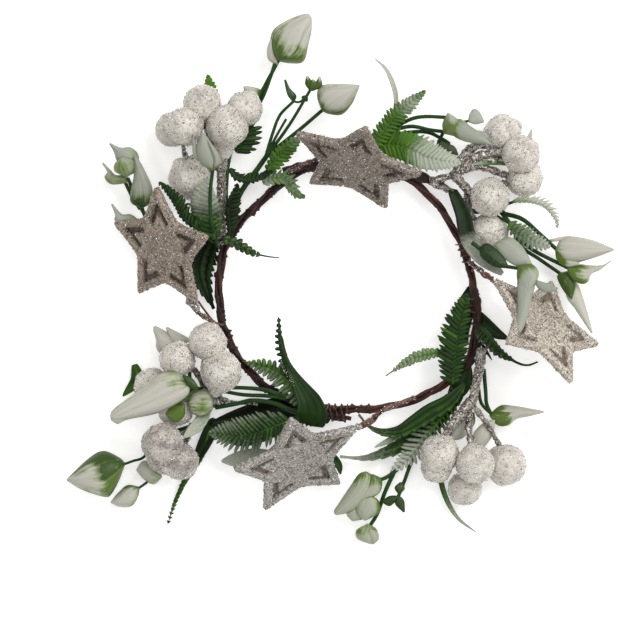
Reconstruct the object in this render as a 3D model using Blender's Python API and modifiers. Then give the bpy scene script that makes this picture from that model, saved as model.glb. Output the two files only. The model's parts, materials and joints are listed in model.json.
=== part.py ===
"""Christmas candle wreath: a twisted vine ring with four glitter stars, four sprays of frosted berries,
fern fronds and white tulip buds wired round it. It lies flat, +Z up.

Every place below is in millimetres, X to the right and Y away from the viewer as seen from above, and
Z up from the table. MM turns them into metres.
"""
import math

import bmesh
import bpy
import numpy as np
from mathutils import Matrix, Vector

MM = 0.001
ROUTE_STEPS = 24
RING_FINE_POINTS = 1200
WELD_DISTANCE = 0.00001
SMOOTH_ANGLE = 50.0

# Vine ring: three strands twisted round one centreline.
RING_LEVEL = 7.0
STRAND_COUNT = 3
STRAND_RADIUS = 0.8
TWIST_RADIUS = 1.1
TWIST_TURNS = 7
STRAND_POINTS = 44
RING_CENTRELINE = [
    (52.9, 0), (51, 8), (47.7, 16), (45, 21), (42, 26), (38, 31), (33, 36), (26, 41), (15, 45), (3, 46.5),
    (-9, 45.2), (-18.6, 41.8), (-26.4, 35.7), (-34.2, 28.7), (-41.5, 20.6), (-46.5, 11), (-48.4,
                                                                                          0), (-48.3, -10),
    (-46.5, -20), (-43, -28), (-38, -35), (-30, -43), (-20, -48), (-8, -51.5), (0, -52.2), (10, -52.2),
    (20, -51.1), (30, -48.3), (40, -43.3), (45, -39), (50, -35), (52.5, -29), (54.5, -20), (54.3, -12),
]

# Binding wire: short coils round the strands, each at a fraction of the way round the ring.
BINDING_RADIUS = 2.6
BINDING_WIRE = 0.35
BINDING_PITCH = 1.9
BINDING_TURNS = 2.5
BINDING_POINTS_PER_TURN = 7
BINDING_PLACES = {"east": 0.975, "north_east": 0.03, "south": 0.7}

# Stars: flat five-armed plates with a V-shaped slot in each arm, each leaning its own way.
STAR_THICKNESS = 3.0
STAR_INNER_RATIO = 0.53
STAR_TIP_CUT = 1.76
STAR_TIP_DROP = 0.385
SLOT_TIP = 0.72
SLOT_WIDTH = 1.4
SLOT_LENGTH = 9.0
STARS = {
    "top": {"centre": (6.3, 45.3, 26.0), "radius": 28.0, "lean": 58.0, "axis": 340.1, "spin": 55.0},
    "left": {"centre": (-70.6, 12.3, 19.5), "radius": 26.3, "lean": 44.0, "axis": 295.2, "spin": 70.6},
    "bottom": {"centre": (-17.1, -72.7, 23.5), "radius": 28.0, "lean": 51.4, "axis": 26.4, "spin": 14.4},
    "right": {"centre": (81.3, -19.9, 24.0), "radius": 27.8, "lean": 53.7, "axis": 134.5, "spin": 49.0},
}
STAR_STEMS = {
    "top": [(-21, 43, 11.6), (-12, 46.8, 11.8), (-4, 49.5, 12), (3, 49.8, 15), (6, 48, 21)],
    "left": [(-48.5, -21, 10.6), (-52, -16.5, 12), (-56, -14, 15.5), (-58.5, -11.5, 18.5)],
    "bottom": [(19, -49.5, 10.6), (15, -54.5, 13), (11.5, -57.5, 19), (9.8, -58.5, 22)],
    "right": [(51.5, 7, 10.6), (55, 4.2, 14), (58, 2, 19), (59.6, 1.6, 22.6)],
}
STAR_STEM_RADIUS = 1.0

# Twigs and stems: those over THICK_TWIG get more sides; each thins by TWIG_TAPER towards its far end.
THICK_TWIG = 1.5
TWIG_TAPER = 0.45

# Berries: (x, y, z, radius, stands) with a small flat spot under those that the wreath stands on.
BERRY_SIDES = 9
BERRY_RINGS = 6
SPRAYS = {
    "north_west": {
        "berries": [(-67, 60, 7.0, 7.0, True), (-62, 61, 19, 7.6, False), (-55, 70, 16, 7.5, False),
                    (-45, 61, 18, 8.5, False), (-38, 68, 15.5, 7.0, False), (-60, 40, 8.5, 8.5, True)],
        "twigs": [
            (2.0, [(-47, 14, 11.4), (-48, 24, 11), (-47.5, 36, 11), (-48, 46, 11.5), (-51, 54, 12.5)]),
            (1.2, [(-51, 53, 12.4), (-56, 57, 14), (-61, 60, 17)]),
            (1.2, [(-51, 53, 12.4), (-59, 57, 9), (-65, 59.5, 7.5)]),
            (1.2, [(-51, 53, 12.4), (-53, 60, 13.5), (-55, 68, 15)]),
            (1.2, [(-50, 51, 12.2), (-48, 56, 14), (-46, 60, 16.5)]),
            (1.1, [(-48, 57, 14.5), (-43, 62, 13.2), (-39, 67, 14.5)]),
            (2.6, [(-48.2, 44, 12), (-47.5, 49, 14), (-46.5, 55, 17)]),
            (1.2, [(-48, 45, 11.4), (-54, 43.5, 9.5), (-58, 41, 9)]),
            (1.6, [(-60.5, 46, 12), (-62, 50, 13), (-63.5, 55, 14.5)]),
        ],
    },
    "north_east": {
        "berries": [(65, 58.3, 9.5, 7.4, False), (72.3, 50, 15, 7.6, False), (74, 40, 7.2, 7.2, True),
                    (60, 32.8, 12.5, 7.7, False), (59.8, 18.7, 7.6, 7.6, True)],
        "twigs": [
            (2.0, [(36, 39, 10.9), (41, 40.5, 11), (45, 41.5, 11), (50, 44.5, 11.3)]),
            (1.2, [(47, 42.5, 11), (50.5, 48, 11), (56, 53, 10.5), (61.5, 57, 10)]),
            (1.2, [(48, 43.5, 11), (54, 48.5, 13), (62, 50.5, 14.5), (69, 51, 15)]),
            (1.2, [(48, 43.5, 11), (56, 45, 11), (65, 42, 9), (71, 40.5, 8)]),
            (1.2, [(50, 45.3, 11.5), (57, 47.3, 12), (67, 47.5, 14)]),
            (1.2, [(62, 37, 12), (66, 38, 10), (70, 38.5, 8)]),
            (1.2, [(46, 41.5, 10.8), (50, 37, 10), (54, 33.5, 11), (58, 33, 12)]),
            (1.1, [(51, 36, 10.2), (53.5, 28, 8.5), (56, 23, 8), (58, 20.5, 8)]),
            (1.2, [(36, 39, 10.9), (41, 36.6, 10.4), (46.5, 34.2, 10.4)]),
        ],
    },
    "south_east": {
        "berries": [(39.7, -70, 15, 7.7, False), (38.5, -75.5, 11.5, 6.2, False), (54, -74, 17, 7.8, False),
                    (66.5, -74.3, 8.2, 8.2, True), (50, -84, 6.8, 6.8, True)],
        "twigs": [
            (2.9, [(57, -24, 13), (56, -30, 13), (54.5, -38, 13), (53, -47, 13), (52, -53.5, 13.5)]),
            (1.2, [(52, -52, 13.4), (47, -56, 14), (43, -61, 14.5), (40.5, -67, 15)]),
            (1.2, [(52, -52, 13.4), (51.5, -60, 15), (53, -70, 16.5)]),
            (1.2, [(53, -50, 13.2), (58, -57, 12), (63, -65, 10), (65.5, -71, 9)]),
            (1.1, [(42, -66, 14), (40, -72, 12.5), (38.5, -75, 12)]),
            (1.1, [(52, -68, 16), (51, -76, 10), (50, -81, 8)]),
        ],
    },
    "south_west": {
        "berries": [(-53, -25, 17, 7.5, False), (-65, -32, 15, 7.2, False), (-47.5, -37, 17.5, 8.2, False),
                    (-75, -43, 7.5, 7.5, True), (-66, -52, 8.5, 7.0, False), (-56.5, -48.5, 8.5, 5.0,
                                                                              False),
                    (-71, -66, 15, 8.0, False), (-64, -73, 10.5, 7.0, False)],
        "twigs": [
            (2.0, [(4, -56, 11.8), (-7, -54.8, 11.8), (-18, -52.5, 11.2), (-28, -50, 11), (-38, -49.5, 8),
                   (-47, -50, 6.5), (-54, -52, 6)]),
            (1.2, [(-45, -50, 6.6), (-49.5, -46, 5.5), (-50.5, -41, 7), (-48.5, -38, 11)]),
            (1.2, [(-50, -50.5, 6.3), (-54, -40, 8), (-54.5, -31, 11), (-53.5, -27, 14)]),
            (1.2, [(-53, -46, 7), (-57, -38, 9), (-62, -33.5, 13.5)]),
            (1.2, [(-52, -52, 6.2), (-59, -52, 7), (-64, -52, 8)]),
            (1.2, [(-63, -51, 8), (-69, -48, 8), (-73, -45, 7.5)]),
            (1.2, [(-54, -52, 6), (-60, -60, 8), (-68, -64, 13)]),
            (1.1, [(-59, -58, 7.5), (-62, -66, 9), (-63.5, -71, 10)]),
        ],
    },
}

# Fern fronds: midrib route, leaflet reach on the left and right of it, number of pairs, blunt leaflets.
BLADE_THICKNESS = 0.7
RIB_WIDTH = 1.1
LEAFLET_LEAN = 0.5
LEAFLET_DROOP = 0.12
LEAFLET_LEAST = 0.7
BLUNT_END = 0.75
POINTED_END = 0.4
FRONDS = {
    "frond_n_right": ([(13, 54, 17), (25, 52.5, 20), (35, 48.5, 20), (48, 46, 19)], 8, 7, 13, True),
    "frond_n_tall": ([(12.5, 51.5, 21), (16.5, 58, 22), (22.5, 65.5, 22), (28, 70.3, 21), (34, 75, 20)],
                     3.6, 4.6, 10, False),
    "frond_n_left": ([(-29, 43, 18), (-22, 52, 18.5), (-16, 56.5, 19)], 3.5, 5, 8, False),
    "frond_nw_inner": ([(-41.5, 50.5, 11), (-39.5, 54, 11), (-38, 58, 10.5), (-37, 63, 9.3)],
                       2, 8, 7, True),
    "frond_nw_outer": ([(-50, 64, 4), (-52, 71, 3.5), (-53, 82, 4)], 3, 4, 7, False),
    "frond_nw_curl": ([(-31, 38.5, 13), (-24, 40.5, 13.5), (-20, 38.5, 13), (-17.5, 34, 12),
                       (-14, 32.8, 11)], 3.2, 2.8, 10, False),
    "frond_nw_small": ([(-43, 44.5, 19.5), (-36, 41.7, 20), (-29, 43.5, 20)], 3.4, 3.4, 6, False),
    "frond_nw_ring": ([(-44, 19, 16), (-44, 29, 16.5), (-41, 38, 16.5)], 2, 5, 8, False),
    "frond_w_hole": ([(-47, 16.5, 15.5), (-40, 13.5, 13), (-35, 10.5, 12), (-29, 9, 11), (-24, 8.5, 10)],
                     2, 2, 10, False),
    "frond_w_dark": ([(-57, 20, 23), (-62, 24, 23), (-66, 31, 23), (-72, 38.5, 23)], 4, 4.5, 9, False),
    "frond_w_frosted": ([(-50, 16, 19), (-51, 25, 20), (-52, 34, 20), (-52, 43, 20)], 9, 4, 12, True),
    "frond_s_hole": ([(-11, -52, 15.5), (-18, -44, 15.5), (-24, -38, 14.5), (-31, -35, 13),
                      (-39.5, -32.8, 12.5)], 4.6, 5.2, 11, True),
    "frond_s_upright": ([(-8, -50, 17), (-15, -41, 17), (-20, -33, 16), (-23, -26, 15), (-25, -16, 14)],
                        3.4, 0.9, 11, False),
    "frond_s_root": ([(-1, -53.5, 3), (-11, -54, 3), (-21, -54, 3)], 6, 5, 6, True),
    "frond_sw_broad": ([(-21, -58, 15), (-30, -60, 16), (-40, -62.5, 16), (-51, -64.5, 15)],
                       6, 6, 12, True),
    "frond_sw_back": ([(-52.5, -61, 1.3), (-55.5, -71, 1.3), (-61.5, -80, 1.5), (-65.5, -88, 2),
                       (-69, -98, 3)], 2.0, 3.0, 10, False),
    "frond_e_ring": ([(45, -42, 14), (46, -30, 15), (48, -18, 15), (51, -6, 14)], 8, 5, 12, True),
    "frond_e_hole": ([(42, -29, 12), (33, -30.5, 12), (27, -33, 11.5), (18, -39, 11)], 2, 2, 10, False),
    "frond_e_star": ([(58.5, -20, 18.5), (60, -26, 18), (64.5, -31, 16.5), (70, -34, 14.5), (75, -34.8, 14),
                      (79.5, -33, 13.5)], 2.6, 2.8, 10, False),
    "frond_se_curl": ([(48.5, -39.5, 13), (42.5, -47, 13), (33, -54, 13), (25, -60, 13), (16, -61, 12.5),
                       (8, -54.5, 12)], 4, 4, 12, False),
    "frond_se_long": ([(50, -45.5, 9), (41, -51, 9), (28, -61, 8.5), (20, -67, 8), (14, -70.5, 8),
                       (0, -71.5, 7.5)], 4.4, 3.5, 12, False),
    "frond_se_frosted": ([(49, -47, 5.5), (42, -53, 5.5), (35, -62, 5), (28, -71, 4.5), (20, -78, 4)],
                         5, 5, 11, True),
    "frond_ne_tip": ([(69, 31, 15), (76, 31, 15), (82, 29, 14), (86, 24, 13), (87, 20.5, 12)],
                     2, 2, 9, False),
    "frond_ne_low": ([(67.5, 22.5, 14.5), (72, 18.5, 14.5), (78, 15, 14), (84, 12.8, 13.5)],
                     4.2, 4.2, 8, False),
}

# Slender leaves: route and full width at the middle; the edges stand LEAF_FOLD of the half width high.
LEAF_ROWS = 8
LEAF_FOLD = 0.25
LEAVES = {
    "leaf_n_white": ([(17, 61, 16), (21.5, 69, 16), (22.5, 76, 16), (20.5, 81, 16), (14, 88, 16)], 2.3),
    "leaf_ne_dark": ([(45, 35, 14.5), (49, 26, 15), (51, 17, 15), (56, 9, 14.5), (65, 2, 13)], 7.6),
    "leaf_se_slender": ([(42, -62, 2.5), (40.3, -72, 2.2), (40.2, -79, 2.2), (42.6, -88, 3),
                         (47.4, -96, 3.5), (54.5, -101.5, 4)], 1.9),
    "leaf_sw_dark": ([(-31, -53.5, 2.6), (-42, -56, 2.6), (-52, -58, 2.6)], 9.0),
    "leaf_s_grey": ([(-28, -70, 6), (-38, -72, 6), (-47.5, -73, 6)], 7.0),
    "leaf_w_dark": ([(-48, 13, 3), (-53.5, 6, 3), (-53, -3, 3), (-49, -12, 3)], 7.0),
    "leaf_e_blade": ([(58, -16.5, 11), (62.5, -21, 11), (67.5, -24, 11)], 5.0),
    "leaf_sw_green": ([(-83, -33.5, 2), (-83, -39.5, 1.8), (-86.5, -46.5, 2)], 3.2),
}

# Buds: half width along the bud as shares of its widest, when closed, open, or small and closed.
CLOSED_SWELL = [0.5, 0.93, 1.0, 0.85, 0.55, 0.14]
OPEN_SWELL = [0.42, 0.8, 0.98, 1.0, 0.92, 0.8]
SMALL_SWELL = [0.5, 0.97, 0.95, 0.62, 0.14]
SMALL_BUD = 7.5
PETAL_STEP = 0.2
CROWN_NOTCH = 0.86
CROWN_TIP = 0.85
# Loose petals: place along the bud, stand-off from its axis and half width, in bud lengths and widths.
PETAL_ROWS = [(0.15, 0.34, 0.3), (0.55, 0.54, 0.42), (1.0, 0.46, 0.07)]
PETAL_CUP = 0.35

# Bud sprays: each stem as (radius, route), each bud as base, tip, width, open or closed, rolls of
# its loose petals about it in degrees.
BUD_SPRAYS = {
    "buds_north": {
        "stems": [
            (1.2, [(-44.5, 22, 12), (-40, 34, 12), (-33, 44, 12.3), (-28, 51, 12.5)]),
            (0.85, [(-29, 49.5, 12.4), (-17, 59, 13), (-7, 67.5, 14)]),
            (0.7, [(-29, 49.5, 12.4), (-20, 62, 13), (-11, 77, 15)]),
            (0.8, [(-30, 48, 12.3), (-26, 62, 12.5), (-19, 71, 13)]),
            (0.85, [(-44, 24, 11.8), (-45.6, 32, 8.5), (-45.4, 40, 8), (-44.5, 48, 7), (-42, 56, 5.5),
                    (-37, 64, 5), (-32.5, 71, 6), (-25.5, 88, 11)]),
            (0.8, [(-35, 66.5, 5.2), (-30, 73, 6.5), (-26.5, 81, 9), (-24, 88, 11)]),
        ],
        "buds": [
            ((-26, 86, 11), (-13, 104.3, 14), 15.6, False, (-60,)),
            ((-8, 66.5, 14), (7.5, 77, 15), 11, True, ()),
            ((-12, 75.5, 15), (-9.3, 80.5, 15.5), 4, True, ()),
            ((-19.5, 70, 13), (-18.6, 78, 13.5), 5.4, True, ()),
        ],
        "blades": [([(-32, 71.5, 6.5), (-35, 74.5, 7.5), (-39, 77, 8)], 4.5)],
    },
    "buds_west": {
        "stems": [
            (0.85, [(-74, 19, 8.5), (-78, 25, 9), (-80, 30, 9.5)]),
            (0.85, [(-74, 19, 8.5), (-80, 29, 8), (-85, 40.5, 10)]),
            (0.85, [(-80, 28, 8), (-84, 33, 8), (-88, 39, 8)]),
            (1.1, [(-50, 8, 11.5), (-58, 12, 10), (-67, 16, 8.5), (-75, 20.5, 8.5)]),
        ],
        "buds": [
            ((-79.7, 29, 10), (-81.3, 48.5, 13), 7.4, False, ()),
            ((-84.5, 41, 10), (-88, 53.5, 11), 8.5, True, (-60,)),
            ((-86, 39.3, 8), (-94.5, 42.5, 8.5), 4.6, False, ()),
            ((-78.5, 23.5, 9), (-90, 29, 11), 3.2, False, ()),
        ],
    },
    "bud_north_west": {
        "stems": [(0.85, [(-47.5, 9, 15.5), (-50, 14, 20.5), (-51, 22, 23.5), (-51.5, 34, 23.8),
                          (-50.3, 44, 24)])],
        "buds": [((-50, 43.5, 24), (-54, 57, 27), 7.2, False, (-60,))],
        "blades": [([(-51, 44, 24), (-55.5, 48, 25), (-57.5, 56, 26.5)], 4)],
    },
    "buds_north_east": {
        "stems": [
            (1.2, [(6, 49.5, 11.5), (12, 54, 12), (20, 60, 12.5)]),
            (0.85, [(18, 58.5, 12.4), (30, 64, 13), (42, 64, 14), (46, 63.5, 15)]),
            (0.85, [(18, 58.5, 12.4), (28, 61.5, 12), (36, 60.5, 12), (42, 59.5, 13)]),
            (0.85, [(16, 57, 12.2), (33, 59, 10), (41, 56, 9), (44, 54, 9)]),
        ],
        "blades": [([(39.5, 56.8, 9.2), (43.5, 51.5, 9.8), (47, 49.5, 10)], 3.0)],
        "buds": [((41.3, 61, 14), (60.5, 53.7, 20), 7.9, False, (-60,)),
                 ((45, 63.2, 15), (57.5, 64.3, 17), 6, True, ())],
    },
    "buds_east": {
        "stems": [
            (1.1, [(49.5, 28.5, 4), (54, 27.2, 3.2), (60, 27.4, 3.4), (66, 26.6, 6)]),
            (0.85, [(65, 26.4, 5.8), (73, 24, 8), (86, 13, 10)]),
            (0.85, [(65, 26.4, 5.8), (70, 20, 6), (76, 12.5, 8), (90, 5, 9)]),
            (0.85, [(69, 21, 6), (73, 13, 4.5), (80, 8, 4.5), (90, 1.5, 5)]),
        ],
        "buds": [((86, 12, 10), (109, 11.3, 14), 10, False, ()),
                 ((89.5, 3.9, 9.5), (107, 4.8, 11), 6.5, False, (-130,)),
                 ((88.8, 3, 5), (99.6, -21.5, 9), 7.4, False, ())],
    },
    "bud_east_fall": {
        "stems": [(0.85, [(52.5, 14.5, 18.5), (57, 11, 18.5), (62, 6.5, 20), (66, 5, 21.5), (72, 4, 23)])],
        "buds": [((71.5, 4, 23), (72.5, -18, 38), 6.5, False, (-60,))],
        "blades": [([(64, 15, 20), (68, 11.5, 21), (73, 7, 22.5), (75.5, 2, 24), (73, -3, 27)], 7.4),
                   ([(55, 13, 18.6), (60, 10, 19.6), (67, 4, 21.8)], 6.5)],
    },
    "bud_south_east": {
        "stems": [(0.85, [(57.6, -36, 8.5), (58.4, -45, 7), (58.8, -50, 6.5), (60.8, -54.6, 6.5)])],
        "buds": [((60.3, -54.7, 6.5), (81, -53.4, 9), 7, False, ())],
    },
    "buds_south": {
        "stems": [
            (0.85, [(36, -56, 10.5), (29, -66, 12), (20, -79, 10)]),
            (0.85, [(22, -76, 10.4), (17, -80, 9.6), (12, -80, 9.4)]),
            (0.85, [(20, -79, 10), (18.5, -86, 8), (16, -94, 6), (12, -99, 5)]),
            (0.7, [(21, -78, 10), (26, -83, 9), (23.5, -89, 8)]),
        ],
        "buds": [((13.3, -78.5, 9.6), (2.4, -96, 9.8), 16, True, (-60,)),
                 ((10.9, -98, 5), (11.4, -106, 4.5), 8.6, False, ()),
                 ((24.3, -86, 8.5), (20.6, -92, 8), 5, True, ())],
    },
    "buds_south_west": {
        "stems": [
            (1.1, [(-55, -58, 2.3), (-62, -60, 2.5), (-72, -63.5, 3.5), (-79, -70, 5), (-83, -73, 8),
                   (-88, -76, 9)]),
            (0.85, [(-71, -63, 3.4), (-73.5, -73, 3.6), (-76, -80, 4), (-82, -85, 4.5)]),
            (0.85, [(-71, -64, 3.4), (-72.5, -73, 3.5), (-73, -79, 4)]),
        ],
        "buds": [((-86.3, -76.5, 9), (-109, -80.6, 10), 17, False, (-120,)),
                 ((-80.5, -84.5, 4.5), (-91.8, -90, 4.5), 7.4, False, ()),
                 ((-71.5, -79.3, 4), (-81.5, -76.7, 4.5), 6.8, False, ())],
    },
    "bud_south_west_long": {
        "stems": [(0.85, [(-20, -48.2, 12), (-28, -45, 12), (-35, -43.8, 11), (-44, -43.5, 9.8),
                          (-50, -44, 10), (-54, -44, 12), (-58, -43.8, 17), (-64, -45, 21)]),
                  (0.85, [(-58, -43.8, 17), (-60, -40, 11), (-60.5, -35, 6), (-63, -29, 5)]),
                  (0.85, [(-21, -48, 12), (-29, -46.8, 11.3), (-39, -46.3, 10), (-50, -44.3, 10)])],
        "buds": [((-63, -45.3, 21), (-91.5, -55, 22), 10, False, (-60,)),
                 ((-62, -30, 5), (-72.5, -19.8, 5), 9.5, True, ())],
    },
}


def clearScene():
    """Remove whatever objects the file holds."""
    for item in list(bpy.data.objects):
        bpy.data.objects.remove(item, do_unlink=True)


def makeCollection(name):
    """Add a collection to the scene."""
    group = bpy.data.collections.new(name)
    bpy.context.scene.collection.children.link(group)
    return group


def makeMaterial(name, colour, roughness, metallic=0.0):
    """A Principled material from a linear colour."""
    material = bpy.data.materials.new(name)
    material.use_nodes = True
    shader = material.node_tree.nodes["Principled BSDF"]
    shader.inputs["Base Color"].default_value = (*colour, 1.0)
    shader.inputs["Roughness"].default_value = roughness
    shader.inputs["Metallic"].default_value = metallic
    material.diffuse_color = (*colour, 1.0)
    return material


def smoothRoute(points, count, closed=False):
    """A Catmull-Rom curve through the points, read at evenly spaced places along it, in millimetres."""
    knots = np.array(points, float)
    if closed:
        padded = np.vstack([knots[-1], knots, knots[0], knots[1]])
        spans = len(knots)
    else:
        padded = np.vstack([2 * knots[0] - knots[1], knots, 2 * knots[-1] - knots[-2]])
        spans = len(knots) - 1
    fine = []
    for i in range(spans):
        a, b, c, d = padded[i:i + 4]
        t = np.linspace(0, 1, ROUTE_STEPS, endpoint=False)[:, None]
        fine.append(0.5 * (2 * b + (c - a) * t + (2 * a - 5 * b + 4 * c - d) * t**2
                           + (3 * b - a - 3 * c + d) * t**3))
    fine.append(padded[spans + 1][None, :])
    line = np.vstack(fine)
    along = np.concatenate([[0], np.cumsum(np.linalg.norm(np.diff(line, axis=0), axis=1))])
    wanted = np.linspace(0, along[-1], count + 1 if closed else count)
    route = np.column_stack([np.interp(wanted, along, line[:, k]) for k in range(line.shape[1])])
    return route[:-1] if closed else route


def directionsAlong(route, closed=False):
    """Unit directions along a route."""
    if closed:
        step = np.roll(route, -1, axis=0) - np.roll(route, 1, axis=0)
    else:
        step = np.gradient(route, axis=0)
    return step / np.linalg.norm(step, axis=1)[:, None]


def placeObject(name, data, group, material):
    """Put a mesh or curve in the collection under its node name."""
    item = bpy.data.objects.new(name, data)
    group.objects.link(item)
    data.materials.clear()
    data.materials.append(material)
    return item


def meshFrom(name, points, faces):
    """A mesh from points in millimetres, its faces turned outward where it is closed."""
    data = bpy.data.meshes.new(name)
    data.from_pydata([tuple(p * MM) for p in np.asarray(points)], [], faces)
    data.update()
    work = bmesh.new()
    work.from_mesh(data)
    bmesh.ops.recalc_face_normals(work, faces=work.faces)
    work.to_mesh(data)
    work.free()
    return data


def tubeCurve(name, route, radius, sharpTip=False, closed=False, resolution=1):
    """A round tube along a route as a bevelled curve with filled caps; sharpTip thins its far end."""
    data = bpy.data.curves.new(name, "CURVE")
    data.dimensions = "3D"
    data.bevel_depth = radius * MM
    data.bevel_resolution = resolution
    data.use_fill_caps = not closed
    spline = data.splines.new("POLY")
    spline.points.add(len(route) - 1)
    for i, place in enumerate(route):
        spline.points[i].co = (*[v * MM for v in place], 1.0)
        if sharpTip:
            spline.points[i].radius = 1.0 - TWIG_TAPER * i / (len(route) - 1)
    spline.use_cyclic_u = closed
    return data


def tubeMesh(points, radius):
    """A tube turned into a closed mesh, ready to be joined to others."""
    resolution = 1 if radius > THICK_TWIG else 0
    route = smoothRoute(points, len(points) + 1)
    return closedMesh(tubeCurve("tube", route, radius, sharpTip=True, resolution=resolution))


def fuse(name, meshes, group, material):
    """Join closed meshes into one body with a Boolean union on a collection, applied."""
    joined = placeObject(name, meshes[0], group, material)
    cutters = makeCollection(name + "_pieces")
    for i, mesh in enumerate(meshes[1:]):
        piece = bpy.data.objects.new(f"{name}_piece_{i}", mesh)
        piece.hide_render = True
        piece.display_type = "WIRE"
        cutters.objects.link(piece)
    union = joined.modifiers.new("union", "BOOLEAN")
    union.operation = "UNION"
    union.operand_type = "COLLECTION"
    union.collection = cutters
    union.solver = "EXACT"
    bpy.context.view_layer.update()
    graph = bpy.context.evaluated_depsgraph_get()
    result = bpy.data.meshes.new_from_object(joined.evaluated_get(graph))
    joined.modifiers.clear()
    joined.data = result
    for piece in list(cutters.objects):
        bpy.data.objects.remove(piece, do_unlink=True)
    bpy.data.collections.remove(cutters)
    result.materials.clear()
    result.materials.append(material)
    smoothShade(result)
    return joined


def smoothShade(mesh):
    """Shade smooth, with edges sharper than SMOOTH_ANGLE kept sharp."""
    mesh.shade_smooth()
    mesh.set_sharp_from_angle(angle=math.radians(SMOOTH_ANGLE))


def addVineRing(group, material):
    """Strands wound on a helix round the ring's centreline."""
    level = np.array([(x, y, RING_LEVEL) for x, y in RING_CENTRELINE], float)
    centre = smoothRoute(level, STRAND_POINTS, closed=True)
    along = directionsAlong(centre, closed=True)
    outward = np.cross(along, (0, 0, 1))
    turn = np.linspace(0, 2 * math.pi * TWIST_TURNS, STRAND_POINTS, endpoint=False)
    for n in range(STRAND_COUNT):
        angle = (turn + 2 * math.pi * n / STRAND_COUNT)[:, None]
        route = centre + TWIST_RADIUS * (np.cos(angle) * outward + np.sin(angle) * np.array((0, 0, 1.0)))
        data = tubeCurve(f"vine_strand_{n + 1}", route, STRAND_RADIUS, closed=True)
        placeObject(f"vine_strand_{n + 1}", data, group, material)


def addBindings(group, material):
    """Short open coils of wire round the strands."""
    level = np.array([(x, y, RING_LEVEL) for x, y in RING_CENTRELINE], float)
    fine = smoothRoute(level, RING_FINE_POINTS, closed=True)
    step = np.linalg.norm(np.diff(fine, axis=0), axis=1).mean()
    along = directionsAlong(fine, closed=True)
    outward = np.cross(along, (0, 0, 1))
    count = int(BINDING_TURNS * BINDING_POINTS_PER_TURN)
    for place, share in BINDING_PLACES.items():
        angle = np.linspace(0, 2 * math.pi * BINDING_TURNS, count)
        shift = np.round(angle / (2 * math.pi) * BINDING_PITCH / step).astype(int)
        index = (int(share * len(fine)) + shift) % len(fine)
        route = fine[index] + BINDING_RADIUS * (np.cos(angle)[:, None] * outward[index]
                                                + np.sin(angle)[:, None] * np.array((0, 0, 1.0)))
        data = tubeCurve(f"binding_wire_{place}", route, BINDING_WIRE, resolution=0)
        placeObject(f"binding_wire_{place}", data, group, material)


def headingOf(degrees):
    """The unit vector in the plane that points at an angle from +X."""
    return np.array((math.cos(math.radians(degrees)), math.sin(math.radians(degrees))))


def starOutline(radius):
    """Corners of a five-armed star with its tips cut round, tip 0 at +Y."""
    corners = []
    inner = STAR_INNER_RATIO * radius
    for arm in range(5):
        tip = 90 + 72 * arm
        point = radius * headingOf(tip)
        before = inner * headingOf(tip - 36)
        after = inner * headingOf(tip + 36)
        toBefore = (before - point) / np.linalg.norm(before - point)
        toAfter = (after - point) / np.linalg.norm(after - point)
        corners += [point + STAR_TIP_CUT * toBefore, point + STAR_TIP_DROP * (toBefore + toAfter),
                    point + STAR_TIP_CUT * toAfter, after]
    return corners


def starSlot(radius, arm):
    """The V-shaped slot of one arm: two strokes alongside the arm's edges that meet near its tip."""
    out = headingOf(90 + 72 * arm)
    across = np.array((-out[1], out[0]))
    inner = STAR_INNER_RATIO * radius
    slope = math.atan2(inner * math.sin(math.radians(36)), radius - inner * math.cos(math.radians(36)))
    apex = SLOT_TIP * radius * out
    points = []
    for side in (1, -1):
        stroke = -out * math.cos(slope) + side * across * math.sin(slope)
        normal = out * math.sin(slope) + side * across * math.cos(slope)
        end = apex + SLOT_LENGTH * stroke
        pair = [end, end - SLOT_WIDTH * normal]
        points.append(pair if side == 1 else pair[::-1])
    inside = apex - out * SLOT_WIDTH / math.sin(slope)
    return [apex, points[0][0], points[0][1], inside, points[1][0], points[1][1]]


def starFrame(star):
    """World placement of a star: spun in its plane, leaned about a level axis and moved to its centre."""
    spin = Matrix.Rotation(math.radians(star["spin"]), 4, "Z")
    heading = math.radians(star["axis"])
    lean = Matrix.Rotation(math.radians(star["lean"]), 4, Vector((math.cos(heading), math.sin(heading), 0)))
    return Matrix.Translation(Vector(star["centre"]) * MM) @ lean @ spin


def addStars(group, material):
    """Each star as a filled flat curve with five holes, extruded to its thickness."""
    for place, star in STARS.items():
        data = bpy.data.curves.new(f"star_{place}", "CURVE")
        data.dimensions = "2D"
        data.fill_mode = "BOTH"
        data.extrude = STAR_THICKNESS * MM / 2
        loops = [starOutline(star["radius"])] + [starSlot(star["radius"], arm) for arm in range(5)]
        for loop in loops:
            spline = data.splines.new("POLY")
            spline.points.add(len(loop) - 1)
            for i, (x, y) in enumerate(loop):
                spline.points[i].co = (x * MM, y * MM, 0, 1)
            spline.use_cyclic_u = True
        item = placeObject(f"star_{place}", data, group, material)
        item.matrix_world = starFrame(star)


def addStarStems(group, material):
    """A bent wire from the ring up to each star."""
    for place, points in STAR_STEMS.items():
        data = tubeCurve(f"star_stem_{place}", smoothRoute(points, 7), STAR_STEM_RADIUS, resolution=0)
        placeObject(f"star_stem_{place}", data, group, material)


def berryMesh(x, y, z, radius, stands):
    """A round berry; one that stands has its lowest point pressed up into a small flat spot at Z = 0."""
    work = bmesh.new()
    bmesh.ops.create_uvsphere(work, u_segments=BERRY_SIDES, v_segments=BERRY_RINGS, radius=radius * MM)
    if stands:
        flat = -radius * MM * math.cos(math.pi / BERRY_RINGS)
        lowest = min(work.verts, key=lambda v: v.co.z)
        lowest.co.z = flat
        bmesh.ops.translate(work, verts=work.verts, vec=(0, 0, -flat - z * MM))
    bmesh.ops.translate(work, verts=work.verts, vec=(x * MM, y * MM, z * MM))
    mesh = bpy.data.meshes.new("berry")
    work.to_mesh(mesh)
    work.free()
    return mesh


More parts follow.
